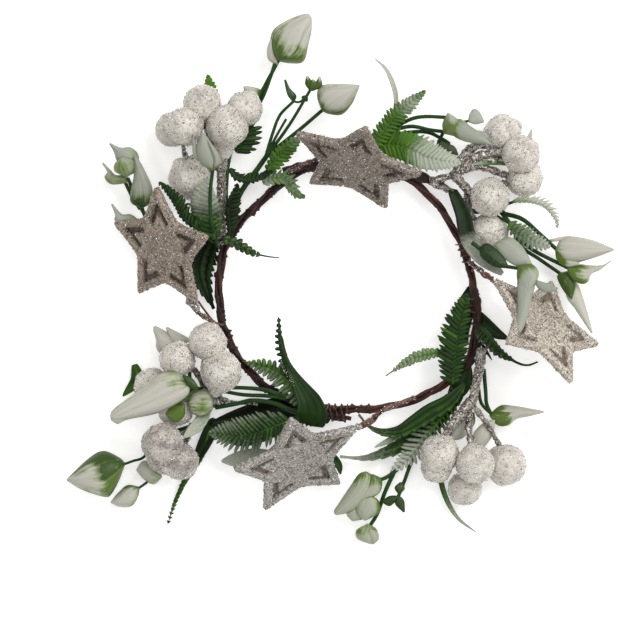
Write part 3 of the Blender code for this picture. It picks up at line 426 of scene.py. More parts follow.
def foliageFinish(name, look):
    # green = tones(shade + cloudShare cloud); the frost colour covers it as frost + powderShare powder +
    # powderStart rises between the two ends of cover
    m = startFinish(name)
    shade, frost = (addNode(m, "ShaderNodeAttribute", attribute_name=key).outputs["Fac"]
                    for key in ("shade", "frost"))
    place = addNode(m, "ShaderNodeTexCoord").outputs["Object"]
    cloud = addNode(m, "ShaderNodeTexNoise", {"Vector": place, "Scale": perMetre(look["cloud"]),
                                              "Detail": 3.0}).outputs["Fac"]
    powder = addNode(m, "ShaderNodeTexNoise", {"Vector": place, "Scale": perMetre(look["powder"]),
                                               "Detail": 2.0}).outputs["Fac"]
    tone = addNode(m, "ShaderNodeMath", {0: cloud, 1: look["cloudShare"], 2: shade},
                   operation="MULTIPLY_ADD").outputs[0]
    green = addNode(m, "ShaderNodeValToRGB", {0: tone}, stops=look["tones"]).outputs[0]
    dust = addNode(m, "ShaderNodeMath", {0: powder, 1: look["powderShare"], 2: look["powderStart"]},
                   operation="MULTIPLY_ADD").outputs[0]
    dust = addNode(m, "ShaderNodeMath", {0: dust, 1: frost}, operation="ADD").outputs[0]
    ends = dict(zip(("From Min", "From Max"), look["cover"]))
    cover = addNode(m, "ShaderNodeMapRange", {"Value": dust, **ends}).outputs[0]
    skin = addNode(m, "ShaderNodeMix", {0: cover, 6: green, 7: look["frost"]}, data_type="RGBA").outputs[2]
    bump = addNode(m, "ShaderNodeBump", {"Height": powder, "Strength": look["reliefStrength"],
                                         "Distance": look["relief"] * mm}).outputs[0]
    return endFinish(m, look, {"Base Color": skin, "Normal": bump})


# Moulded polyethylene petals: milky white that lets a little light through, with faint veins along them and
# green washed on by hand at the foot and the edges, so it comes in soft patches and streaks.
petalLook = {"white": "#bcb8ae", "shade": "#9a9b8e", "roughness": 0.42, "specular": 0.3,
             "greens": [(0.1, "#93a06f"), (0.55, "#587026"), (1.0, "#1a3309")], "cloud": 4.5,
             "streaks": 6.0, "streakLength": 0.5, "wash": 1.3, "cover": (0.18, 0.85), "coverDepth": 0.65,
             "deepShare": 0.4, "relief": 0.3, "reliefStrength": 0.35, "glow": 0.12, "glowDepth": 2.0,
             "glowColour": (0.8, 1.0, 0.7), "alpha": 1.0}
# The southern buds sit in the shade of the wreath: their white is darker and greyer-green, partly their own
# sage tone and partly painted shade.
shadedSagePetalLook = {**petalLook, "white": "#a6a798", "shade": "#878c79"}
# Some petals are moulded so thin that what lies behind them shows through.
thinPetalLook = {**petalLook, "white": "#a9ab9f", "shade": "#8b9182", "wash": 0.9, "alpha": 0.82,
                 "greens": [(0.1, "#98a482"), (0.55, "#6d8044"), (1.0, "#1a3309")]}


def petalFinish(name, look):
    # cover = green + wash (cloud + streak - 1), held within two ends; greens are read at
    # coverDepth cover + deepShare deep
    m = startFinish(name)
    green, deep, across, reach = (addNode(m, "ShaderNodeAttribute", attribute_name=key).outputs["Fac"]
                                  for key in ("green", "deep", "across", "reach"))
    u = addNode(m, "ShaderNodeMath", {0: across, 1: look["streaks"]}, operation="MULTIPLY").outputs[0]
    v = addNode(m, "ShaderNodeMath", {0: reach, 1: look["streakLength"]}, operation="DIVIDE").outputs[0]
    flat = addNode(m, "ShaderNodeCombineXYZ", {"X": u, "Y": v}).outputs[0]
    streak = addNode(m, "ShaderNodeTexNoise", {"Vector": flat, "Scale": 1.0, "Detail": 3.0}).outputs["Fac"]
    place = addNode(m, "ShaderNodeTexCoord").outputs["Object"]
    cloud = addNode(m, "ShaderNodeTexNoise", {"Vector": place, "Scale": perMetre(look["cloud"]),
                                              "Detail": 4.0}).outputs["Fac"]
    drift = addNode(m, "ShaderNodeMath", {0: cloud, 1: streak}, operation="ADD").outputs[0]
    drift = addNode(m, "ShaderNodeMath", {0: drift, 1: look["wash"], 2: -look["wash"]},
                    operation="MULTIPLY_ADD").outputs[0]
    cover = addNode(m, "ShaderNodeMath", {0: drift, 1: green}, operation="ADD").outputs[0]
    ends = dict(zip(("From Min", "From Max"), look["cover"]))
    cover = addNode(m, "ShaderNodeMapRange", {"Value": cover, **ends}).outputs[0]
    depth = addNode(m, "ShaderNodeMath", {0: deep, 1: look["deepShare"]}, operation="MULTIPLY").outputs[0]
    depth = addNode(m, "ShaderNodeMath", {0: cover, 1: look["coverDepth"], 2: depth},
                    operation="MULTIPLY_ADD").outputs[0]
    washed = addNode(m, "ShaderNodeValToRGB", {0: depth}, stops=look["greens"]).outputs[0]
    white = addNode(m, "ShaderNodeMix", {0: streak, 6: look["white"], 7: look["shade"]},
                    data_type="RGBA").outputs[2]
    skin = addNode(m, "ShaderNodeMix", {0: cover, 6: white, 7: washed}, data_type="RGBA").outputs[2]
    bump = addNode(m, "ShaderNodeBump", {"Height": streak, "Strength": look["reliefStrength"],
                                         "Distance": look["relief"] * mm}).outputs[0]
    return endFinish(m, look, {"Base Color": skin, "Alpha": look["alpha"], "Normal": bump,
                               "Subsurface Weight": look["glow"], "Subsurface Radius": look["glowColour"],
                               "Subsurface Scale": look["glowDepth"] * mm})


# The ring: three stems of vine wound round one another.
ringLook = {
    "centreline": [
        (52.9, 0), (51, 8), (47.7, 16), (45, 21), (42, 26), (38, 31), (33, 36), (26, 41), (15, 45),
        (3, 46.5), (-9, 45.2), (-18.6, 41.8), (-26.4, 35.7), (-34.2, 28.7), (-41.5, 20.6), (-46.5, 11),
        (-48.4, 0), (-48.3, -10), (-46.5, -20), (-43, -28), (-38, -35), (-30, -43), (-20, -48),
        (-8, -51.5), (0, -52.2), (10, -52.2), (20, -51.1), (30, -48.3), (40, -43.3), (45, -39), (50, -35),
        (52.5, -29), (54.5, -20), (54.3, -12)],
    "points": 1000, "sides": 10, "strands": 3, "twistRadius": 0.95, "turns": 7, "radius": 0.85,
    "wobble": 0.14, "wobbleSize": 4.0, "knobs": 230, "knobHeight": 1.0, "knobLength": 0.45,
    "smoothFrom": 12, "smoothKnobs": 0.22, "redFrom": (-20, 35), "redThinner": 0.12,
}


def ringLine(count):
    # the ring's centreline at its height, at even steps
    level = [(x, y, layout["level"]) for x, y in ringLook["centreline"]]
    return smoothRoute(level, count, closed=True)


def vineRing(look):
    # tubes on a helix round the centreline; each knob adds h exp(-(ds/w)^2) max(0, cos(a - b))^2, and less
    # on the smooth eastern side, where the bark is redder and thinner
    centre = ringLine(look["points"])
    left, upright = routeFrame(centre, closed=True)[1:]
    turn = np.linspace(0, 2 * math.pi * look["turns"], look["points"], endpoint=False)
    pick = np.random.default_rng(seeds["vine"])
    strands = []
    for n in range(look["strands"]):
        angle = (turn + 2 * math.pi * n / look["strands"])[:, None]
        route = centre + look["twistRadius"] * (-np.cos(angle) * left + np.sin(angle) * upright)
        step = routeLength(route) / look["points"]
        along = np.arange(look["points"]) * step
        at = pick.uniform(0, along[-1], look["knobs"])
        height = look["knobHeight"] * pick.uniform(0.3, 1.0, look["knobs"])
        height *= np.where(np.interp(at, along, route[:, 0]) > look["smoothFrom"], look["smoothKnobs"], 1.0)
        facing = pick.uniform(0, 2 * math.pi, look["knobs"])
        around = np.linspace(0, 2 * math.pi, look["sides"], endpoint=False)
        bell = np.exp(-((along[:, None] - at) / look["knobLength"]) ** 2)
        lobe = np.maximum(0, np.cos(around[:, None] - facing)) ** 2
        relief = np.einsum("sk,ak,k->sa", bell, lobe, height)
        relief += look["wobble"] * waves(route, look["wobbleSize"], seeds["vineWobble"] + n)[:, None]
        red = ease(*look["redFrom"], route[:, 0])[:, None]
        strands.append(tube(route, look["radius"] * (1 - look["redThinner"] * red[:, 0]), look["sides"],
                            closed=True, relief=relief, along=along[:, None],
                            round=around * look["radius"], red=red))
    return strands


# Stubs and bundle ends of cut vine that lie along the ring: (radius, route).
stubForm = {"points": 40, "sides": 9, "lump": 0.3, "lumpSize": 1.6, "bend": 0.2, "bendSize": 3.0,
            "taper": 0.35}
stubLook = [
    (1.9, [(-22.5, 42.5, 9.5), (-16, 45, 10), (-9, 46.3, 10)]),
    (1.7, [(31, 41.5, 9.6), (38, 38.6, 9.6), (46, 34.6, 9.8)]),
    (1.5, [(-7, -54.2, 9), (-1, -54.8, 9), (4.5, -56, 9)]),
    (1.3, [(-8, -53.6, 6), (-2, -55.6, 6.4), (2.5, -56.6, 6.6)]),
    (1.5, [(53.2, -2, 6.4), (54.8, -10, 7.8), (55.3, -18, 8.4), (55, -26, 8.8), (53.6, -31.8, 9.2),
           (49.6, -36.2, 9), (45, -39.4, 8.2)]),
]


def vineStubs(form):
    # lumpy tubes that thin as 1 - taper s^3
    pieces = []
    for n, (radius, knots) in enumerate(stubLook):
        route = smoothRoute(knots, form["points"])
        along = np.linspace(0, routeLength(route), form["points"])
        relief = form["lump"] * waves(route, form["lumpSize"], seeds["stubLump"] + n)[:, None] \
            + form["bend"] * waves(route, form["bendSize"], seeds["stubBend"] + n)[:, None]
        width = radius * (1 - form["taper"] * np.linspace(0, 1, form["points"]) ** 3)
        pieces.append(tube(route, width, form["sides"], relief=relief, along=along[:, None],
                           round=np.linspace(0, 6.28, form["sides"]) * radius))
    return pieces


# Wire wraps. Each coil on the ring has where it starts, as a share of the way round, and its turns.
wrapLook = {"radius": 2.15, "wire": 0.3, "sides": 6, "pitch": 2.6, "pointsPerTurn": 18, "ringPoints": 2400,
            "coils": {"east": (0.94, 5.0), "north_east": (0.02, 3.5), "south": (0.7, 3.5)}}


def wireCoil(look, start, turns):
    # a helix of the wrap radius about the ring's centreline
    fine = ringLine(look["ringPoints"])
    left, upright = routeFrame(fine, closed=True)[1:]
    step = np.linalg.norm(fine[1] - fine[0])
    angle = np.linspace(0, 2 * math.pi * turns, int(turns * look["pointsPerTurn"]))
    index = int(start * look["ringPoints"]) + (angle / (2 * math.pi) * look["pitch"] / step).astype(int)
    index = index % look["ringPoints"]
    route = fine[index] + look["radius"] * (-np.cos(angle)[:, None] * left[index]
                                            + np.sin(angle)[:, None] * upright[index])
    return tube(route, look["wire"], look["sides"])


# Wraps round bundles that leave the ring: (centre, heading in degrees, radius, turns, pitch).
bundleWraps = [((45.5, -46.5, 9.5), 52, 2.6, 2.2, 1.6), ((-0.5, -54.2, 9.0), 5, 2.4, 3.2, 2.2)]


def bundleCoil(centre, heading, radius, turns, pitch):
    # a helix of this radius about a level line through the centre, pressed a little flat
    angle = np.linspace(0, 2 * math.pi * turns, int(turns * wrapLook["pointsPerTurn"]))[:, None]
    ahead = np.append(headingOf(heading), 0)
    across = np.cross((0, 0, 1), ahead)
    pressed = np.array((0, 0, 0.8))
    route = np.array(centre) + (angle / (2 * math.pi) - turns / 2) * pitch * ahead
    route = route + radius * (np.cos(angle) * across + np.sin(angle) * pressed)
    return tube(route, wrapLook["wire"], wrapLook["sides"])


# The stars: thick plates with a V-shaped slot in each arm, closed part of the way down by a ledge in a darker
# colour, painted shade down the slot.
starLook = {
    "thickness": 3.0, "innerRatio": 0.53, "tipReach": 1.9, "notchReach": 3.4, "outlineSteps": 7,
    "slotTip": 0.76, "slotWidth": 2.3, "slotLength": 10.5, "slotReach": 0.5, "slotSteps": 4, "ledge": 1.5,
    "ledgeOverlap": 0.5, "ledgeHalf": 0.35, "cell": 0.5, "nudge": 0.02, "nudges": 3, "edge": 0.8,
    "wall": 0.8, "grain": 0.09, "grainSize": 0.8, "flakes": 3600, "flakeSize": 0.7, "flakeTilt": 0.7,
    # Each star's colour is partly its glitter's own colour and partly painted light. The top star's is
    # darker, painted shade, as it faces away from the key lamp; the right star's is paler, painted light, as
    # it faces it. Each groove colour is painted shade down the slot.
    "top": {"centre": (6.3, 45.3, 26.0), "radius": 28.0, "lean": 58.0, "axis": 340.1, "spin": 55.0,
            "tintAndPaintedLight": "#9c9288", "groove": "#7e746a", "grooveDepth": 0.8},
    "left": {"centre": (-70.6, 12.3, 19.5), "radius": 26.3, "lean": 44.0, "axis": 295.2, "spin": 70.6,
             "tintAndPaintedLight": "#ac9f91", "groove": "#73675b", "grooveDepth": 1.0},
    "bottom": {"centre": (-17.1, -72.7, 23.5), "radius": 28.0, "lean": 51.4, "axis": 26.4, "spin": 14.4,
               "tintAndPaintedLight": "#bab7b3", "groove": "#84806f", "grooveDepth": 0.4},
    "right": {"centre": (81.3, -18.9, 24.0), "radius": 27.8, "lean": 53.7, "axis": 134.5, "spin": 49.0,
              "tintAndPaintedLight": "#d4ccbf", "groove": "#958b7e", "grooveDepth": 0.6},
}


def headingOf(degrees):
    return np.array((math.cos(math.radians(degrees)), math.sin(math.radians(degrees))))


def roundCorners(corners, reach, steps):
    # each corner b becomes (1-t)^2 a + 2t(1-t) b + t^2 c, from a to c, reach along its two edges
    back = corners + reach[:, None] * unit(np.roll(corners, 1, 0) - corners)
    fore = corners + reach[:, None] * unit(np.roll(corners, -1, 0) - corners)
    t = np.linspace(0, 1, steps)[None, :, None]
    curve = (1 - t) ** 2 * back[:, None] + 2 * t * (1 - t) * corners[:, None] + t**2 * fore[:, None]
    return curve.reshape(-1, 2)


def starOutline(radius):
    # five arms, tip 0 at +Y, with blunt tips and soft notches
    corners = [size * headingOf(90 + 36 * k) for k in range(10)
               for size in [radius if k % 2 == 0 else starLook["innerRatio"] * radius]]
    reach = np.tile((starLook["tipReach"], starLook["notchReach"]), 5)
    return roundCorners(np.array(corners), reach, starLook["outlineSteps"])


def starSlot(radius, arm):
    # a V of two strokes alongside the arm's edges, meeting near its tip
    out = headingOf(90 + 72 * arm)
    across = np.array((-out[1], out[0]))
    inner = starLook["innerRatio"] * radius
    slope = math.atan2(inner * math.sin(math.radians(36)), radius - inner * math.cos(math.radians(36)))
    apex = starLook["slotTip"] * radius * out
    ends = []
    for side in (1, -1):
        stroke = -out * math.cos(slope) + side * across * math.sin(slope)
        normal = out * math.sin(slope) + side * across * math.cos(slope)
        end = apex + starLook["slotLength"] * stroke
        pair = [end, end - starLook["slotWidth"] * normal]
        ends.append(pair if side == 1 else pair[::-1])
    inside = apex - out * starLook["slotWidth"] / math.sin(slope)
    corners = np.array([apex, ends[0][0], ends[0][1], inside, ends[1][0], ends[1][1]])
    return roundCorners(corners, np.full(6, starLook["slotReach"]), starLook["slotSteps"])


def edgeDistance(places, corners):
    # least distance to the outline's edges, positive inside, which is where a ray crosses an odd number
    a, b = corners, np.roll(corners, -1, 0)
    edge = b - a
    toPlace = places[:, None] - a
    t = np.clip((toPlace * edge).sum(-1) / (edge**2).sum(-1), 0, 1)
    near = np.linalg.norm(toPlace - t[..., None] * edge, axis=-1).min(1)
    x, y = places[:, :1], places[:, 1:]
    rise = np.where(np.abs(edge[:, 1]) < 1e-9, 1e-9, edge[:, 1])
    crosses = ((a[:, 1] > y) != (b[:, 1] > y)) & (x < edge[:, 0] * (y - a[:, 1]) / rise + a[:, 0])
    return np.where(crosses.sum(1) % 2 == 1, near, -near)


def starPlate(star, seed, web=False):
    # cells of a square grid inside the outline and outside the slots, the border points moved onto the
    # outline; height = wall + (thickness / 2 - wall) sqrt(1 - (1 - d / edge)^2) at distance d from it. The
    # web is the ledge that closes the slots, grooveDepth below the middle of the plate.
    radius, cell, nudge = star["radius"], starLook["cell"], starLook["nudge"]
    outline = starOutline(radius)
    slots = [starSlot(radius, arm) for arm in range(5)]

    def depth(places):
        inSlots = np.maximum.reduce([edgeDistance(places, s) for s in slots])
        if web:
            return np.minimum(starLook["ledge"] - inSlots, inSlots + starLook["ledgeOverlap"])
        return np.minimum(edgeDistance(places, outline), -inSlots)

    ticks = np.arange(-radius - 1, radius + 1, cell)
    count = len(ticks)
    x, y = np.meshgrid(ticks, ticks, indexing="ij")
    places = np.stack([x, y], -1).reshape(-1, 2)
    middles = (np.stack([x, y], -1)[:-1, :-1] + cell / 2).reshape(-1, 2)
    inside = (depth(middles) > 0).reshape(count - 1, count - 1)
    index = np.arange(count * count).reshape(count, count)
    corners = [index[:-1, :-1], index[1:, :-1], index[1:, 1:], index[:-1, 1:]]
    quads = np.stack(corners, -1)[inside]
    ring = np.pad(inside, 1)
    besides = [ring[1:-1, :-2], ring[2:, 1:-1], ring[1:-1, 2:], ring[:-2, 1:-1]]
    border = [np.stack([corners[k], corners[(k + 1) % 4]], -1)[inside & ~besides[k]] for k in range(4)]
    border = np.vstack(border)
    rim = np.unique(border)
    for _ in range(starLook["nudges"]):
        here = places[rim]
        rises = [depth(here + s) - depth(here - s) for s in ((nudge, 0), (0, nudge))]
        slope = np.stack(rises, -1) / (2 * nudge)
        steep = np.maximum((slope**2).sum(-1, keepdims=True), 0.5)
        places[rim] = here - depth(here)[:, None] * slope / steep
    used, quads = np.unique(quads, return_inverse=True)
    quads = quads.reshape(-1, 4)
    border = np.searchsorted(used, border)
    places = places[used]
    share = np.clip(1 - np.clip(depth(places), 0, None) / starLook["edge"], 0, 1)
    height = starLook["wall"] + (starLook["thickness"] / 2 - starLook["wall"]) * np.sqrt(1 - share**2)
    if web:
        height = np.full(len(places), starLook["ledgeHalf"])
    flat = np.column_stack([places, np.full(len(places), -star["grooveDepth"] if web else 0.0)])
    top = flat + np.column_stack([np.zeros_like(places), height])
    low = flat - np.column_stack([np.zeros_like(places), height])
    points = np.vstack([top, low])
    grain = [waves(points, starLook["grainSize"], seed + k) for k in range(3)]
    points += starLook["grain"] * np.stack(grain, -1)
    size = len(places)
    a, b = border[:, 0], border[:, 1]
    walls = np.stack([a + size, b + size, b, a], -1)
    faces = np.vstack([quads, quads[:, ::-1] + size, walls])
    spin = Matrix.Rotation(math.radians(star["spin"]), 3, "Z")
    lean = Matrix.Rotation(math.radians(star["lean"]), 3, Vector((*headingOf(star["axis"]), 0)))
    world = points @ np.array(lean @ spin).T + np.array(star["centre"])
    return {"points": world, "quads": faces, "tris": np.empty((0, 3), int), "marks": {}}


# The wires that carry the stars, and a thinner one twisted beside each but the top star's.
starStemLook = {
    "radius": 0.95, "points": 36, "sides": 9, "lump": 0.15, "lumpSize": 1.4, "flakes": 220,
    "flakeSize": 0.6, "flakeTilt": 0.5,
    "top": [(-21, 43, 11.6), (-12, 46.8, 11.8), (-4, 49.5, 12), (3, 49.8, 15), (6, 48, 21)],
    "left": [(-48.5, -21, 10.6), (-52, -16.5, 12), (-56, -14, 15.5), (-58.5, -11.5, 18.5)],
    "bottom": [(30, -47.4, 9.8), (24.5, -49.6, 10.2), (19, -51.6, 11), (14.5, -54.6, 14), (10.5, -57.2, 19.5),
               (6.4, -59.2, 22.5)],
    "right": [(51.5, 7, 10.6), (55, 4.2, 14), (58.4, 1.6, 19), (62.6, -2.6, 23.4)],
}
thinWireLook = {
    "radius": 0.45, "points": 30, "sides": 6,
    "left": [(-46.5, -18.5, 10.5), (-50.5, -17, 11), (-54.5, -12, 14), (-56.5, -9, 17.5)],
    "bottom": [(22, -50.5, 10), (16.5, -52.8, 12), (13.5, -57, 16.5), (8.5, -59.6, 21.5)],
    "right": [(52.8, 3, 10), (54.5, 5.2, 12), (57.4, 0.8, 17.5), (61, 0.6, 22)],
}
# Lumps of glue and glitter where a star is stuck to its wire: (x, y, z, radius, lobes).
nuggetLook = {
    "flakes": 160, "flakeSize": 0.7, "flakeTilt": 0.6,
    "left": [(-58.4, -10.2, 20.6, 1.8, []), (-60.2, -9.2, 20.2, 1.4, []), (-57.0, -11.6, 19.4, 1.3, [])],
    "bottom": [(5.0, -60.2, 25.2, 1.5, []), (7.2, -59.2, 24.4, 1.3, []), (3.4, -59.6, 26.2, 1.1, [])],
}


# The berry sprays and their glittered twigs.
# Berries are (x, y, z, radius, lobes); each lobe is a point that the skin is drawn towards, and how far.
berryForm = {"rows": 34, "columns": 66, "lump": 0.2, "lumpSize": 3.5, "grain": 0.07, "grainSize": 0.9,
             "lobeSpread": 0.32, "flakes": 850, "flakeSize": 0.6, "flakeTilt": 0.6}
twigForm = {"swell": 1.12, "taper": 0.3, "pointsPerMm": 1.6, "leastPoints": 12, "thick": 1.5,
            "thickSides": 12, "sides": 8, "lump": 0.3, "lumpSize": 1.5, "lumpReach": 2, "flakesPerArea": 1.1,
            "flakeSize": 0.75, "flakeTilt": 0.7}
sprays = {
    "north_west": {
        "berries": [(-67, 60, 7.0, 7.0, []), (-62, 61, 19, 7.6, [((-60, 52, 15), 1.2)]),
            (-55, 70, 16, 7.5, []), (-45, 61, 18, 8.5, [((-47, 46, 13), 4.5), ((-46.5, 51, 14), 2.0)]),
            (-38, 68, 15.5, 7.0, [((-34, 74, 16), 0.8)]), (-60, 40, 8.5, 8.5, [((-65.5, 47, 10), 1.2),
            ((-59, 49, 12), 1.5)])],
        "twigs": [
            (2.0, [(-47, 14, 11.4), (-48, 24, 11), (-47.5, 36, 11), (-48, 46, 11.5), (-51, 54, 12.5)]),
            (1.2, [(-51, 53, 12.4), (-56, 57, 14), (-61, 60, 17)]),
            (1.2, [(-51, 53, 12.4), (-59, 57, 9), (-65, 59.5, 7.5)]),
            (1.2, [(-51, 53, 12.4), (-53, 60, 13.5), (-55, 68, 15)]),
            (1.2, [(-50, 51, 12.2), (-48, 56, 14), (-46, 60, 16.5)]),
            (1.1, [(-48, 57, 14.5), (-43, 62, 13.2), (-39, 67, 14.5)]),
            (2.6, [(-48.2, 44, 12), (-47.5, 49, 14), (-46.5, 55, 17)]),
            (1.2, [(-48, 45, 11.4), (-54, 43.5, 9.5), (-58, 41, 9)]),
            (0.9, [(-60.5, 46, 12), (-62, 50, 13), (-63.5, 55, 14.5)])],
    },
    "north_east": {
        "berries": [(65, 58.3, 9.5, 7.4, [((71.5, 61.6, 11), 1.3), ((66, 66, 9), 0.4)]),
            (72.3, 50, 15, 7.6, []), (74, 40, 7.2, 7.2, [((80, 45, 8), 0.7)]), (60, 32.8, 12.5, 7.7, []),
            (59.8, 18.7, 7.6, 7.6, [])],
        "twigs": [
            (1.5, [(36, 39, 10.9), (41, 40.5, 11), (45, 41.5, 11), (50, 44.5, 11.3)]),
            (1.9, [(46, 41.5, 11), (49.5, 49, 12), (55, 53.6, 12.5), (61, 53, 13.5)]),
            (1.7, [(48, 43.5, 11), (54, 48.5, 13), (62, 50.5, 14.5), (69, 51, 15)]),
            (1.5, [(48, 43.5, 11), (56, 45, 11), (65, 42, 9), (71, 40.5, 8)]),
            (1.5, [(50, 45.3, 11.5), (57, 47.3, 12), (67, 47.5, 14)]),
            (1.2, [(62, 37, 12), (66, 38, 10), (70, 38.5, 8)]),
            (1.8, [(46, 41.5, 10.8), (50, 37, 10), (53, 34.5, 11), (57, 35, 12)]),
            (1.3, [(51, 36, 10.2), (51.6, 28, 8.5), (55, 23, 8), (58, 20.5, 8)]),
            (1.2, [(36, 39, 10.9), (41, 36.6, 10.4), (46.5, 34.2, 10.4)])],
    },
    "south_east": {
        "berries": [(39.7, -70, 15, 7.7, [((44, -62, 14), 1.2)]), (38.5, -75.5, 11.5, 6.2, []),
            (54, -74, 17, 7.8, [((52.5, -65, 16), 1.0)]), (66.5, -74.3, 8.2, 8.2, [((64, -82.5, 6), 0.8)]),
            (50, -84, 6.8, 6.8, [])],
        "twigs": [
            (1.9, [(56.6, -28, 11.5), (56.2, -32, 12.5), (55.2, -38, 13), (53.4, -47, 13),
             (52.4, -53.5, 13.5)]),
            (2.1, [(52.6, -49, 13.4), (48, -54.4, 14), (44, -60, 14.5), (41, -66, 15)]),
            (1.2, [(52, -52, 13.4), (51.5, -60, 15), (53, -70, 16.5)]),
            (1.0, [(53, -50, 13.2), (58, -57, 12), (63, -65, 10), (65.5, -71, 9)]),
            (1.1, [(42, -66, 14), (40, -72, 12.5), (38.5, -75, 12)]),
            (1.1, [(52, -68, 16), (51, -76, 10), (50, -81, 8)])],
    },
    "south_west": {
        "berries": [(-53, -25, 17, 7.5, []), (-65, -32, 15, 7.2, []),
            (-47.5, -37, 17.5, 8.2, [((-50.5, -48, 13), 3.2)]), (-75, -43, 7.5, 7.5, []),
            (-66, -52, 8.5, 7.0, []), (-56.5, -48.5, 8.5, 5.0, []),
            (-71, -66, 15, 8.2, [((-68, -58, 13), 1.2)]), (-64, -73, 11, 7.4, []), (-70, -71, 11, 7.4, [])],
        "greyedCount": 3,
        "twigs": [
            (0.8, [(-33, -49.6, 8), (-38, -49.5, 7), (-47, -50, 6), (-54, -52, 6)]),
            (1.2, [(-45, -50, 6.6), (-49.5, -46, 5.5), (-50.5, -41, 7), (-48.5, -38, 11)]),
            (1.2, [(-50, -50.5, 6.3), (-54, -40, 8), (-54.5, -31, 11), (-53.5, -27, 14)]),
            (1.2, [(-53, -46, 7), (-57, -38, 9), (-62, -33.5, 13.5)]),
            (1.2, [(-52, -52, 6.2), (-59, -52, 7), (-64, -52, 8)]),
            (1.2, [(-63, -51, 8), (-69, -48, 8), (-73, -45, 7.5)]),
            (1.2, [(-54, -52, 6), (-60, -60, 8), (-68, -64, 13)]),
            (1.1, [(-59, -58, 7.5), (-62, -66, 9), (-63.5, -71, 10)])],
    },
}


def berryShell(berry, seed):
    # r(direction) = radius + lumps + grain + h exp(-2 (1 - cos) / lobeSpread^2) towards each lobe; cut flat
    # at the table
    x, y, z, radius, lobes = berry
    rise = np.linspace(-math.pi / 2, math.pi / 2, berryForm["rows"] + 2)[1:-1, None]
    turn = np.linspace(0, 2 * math.pi, berryForm["columns"], endpoint=False)[None, :]
    out = np.stack([np.cos(rise) * np.cos(turn), np.cos(rise) * np.sin(turn), np.sin(rise) + 0 * turn], -1)
    reach = radius + berryForm["lump"] * waves(out * radius, berryForm["lumpSize"], seed)
    reach += berryForm["grain"] * waves(out * radius, berryForm["grainSize"], seed + 1)
    for place, height in lobes:
        toward = unit(np.array(place) - (x, y, z))
        reach = reach + height * np.exp(-(1 - out @ toward) / berryForm["lobeSpread"] ** 2 * 2)
    grid = reach[..., None] * out + (x, y, z)
    grid[..., 2] = np.maximum(grid[..., 2], 0.0)
    return wrapGrid(grid)


def twigShell(radius, knots, seed):
    # a lumpy tube, swell times its radius at the start, that thins as 1 - taper s
    form = twigForm
    length = routeLength(np.array(knots, float))
    route = smoothRoute(knots, max(form["leastPoints"], int(length * form["pointsPerMm"])))
    width = form["swell"] * radius * (1 - form["taper"] * np.linspace(0, 1, len(route)))
    sides = form["thickSides"] if radius > form["thick"] else form["sides"]
    angle = np.linspace(0, 2 * math.pi, sides, endpoint=False)
    around = np.stack([0 * angle, np.cos(angle) * form["lumpReach"], np.sin(angle) * form["lumpReach"]], -1)
    lump = waves(route[:, None] + around, form["lumpSize"], seed)
    return tube(route, width, sides, relief=form["lump"] * lump)


def shellArea(shells):
    # half the cross product of each quad's diagonals, added up
    body = joinShells(shells)
    a, b, c, d = (body["points"][body["quads"][:, k]] for k in range(4))
    return 0.5 * np.linalg.norm(np.cross(c - a, d - b), axis=1).sum()


# The fern fronds.
# Each frond: midrib route, reach of its leaflets left and right of it, frost along it as (share, amount),
# and what differs from the usual form.
# Three of the shade numbers below are painted light and painted shade: a lighter ridge along each leaflet, a
# darker foot where it meets the rib, and a darker web under the leaflets.
frondForm = {
    "pitch": 1.75, "lean": 24.0, "tipLean": 0.5, "droop": 0.1, "roll": 20.0, "fill": 1.12, "thick": 0.4,
    "bare": 0.0, "rows": 7, "points": 80, "lengthPoints": 60, "leastPairs": 5, "leastReach": 0.7,
    "leastTaper": 0.16, "pointed": False, "ridge": 0.22, "rib": 0.5, "ribSides": 6, "ribLift": 0.12,
    "ribShade": 0.15, "ribFrost": 0.45, "web": 0.6, "webThick": 0.6, "paintedWebShade": -0.08, "webFrost": 0.15,
    "pleat": 0.35, "frost": [(0, 0), (1, 0)], "tipFrost": 0.0, "leftFrost": 0.0, "shade": 0.25,
    "paintedRidgeLight": 0.16, "paintedFootShade": 0.1, "reachDraw": (0.9, 1.06), "leanDraw": 0.05, "rollDraw": 0.12,
    "droopDraw": (0.4, 1.6), "shadeDraw": 0.06,
}
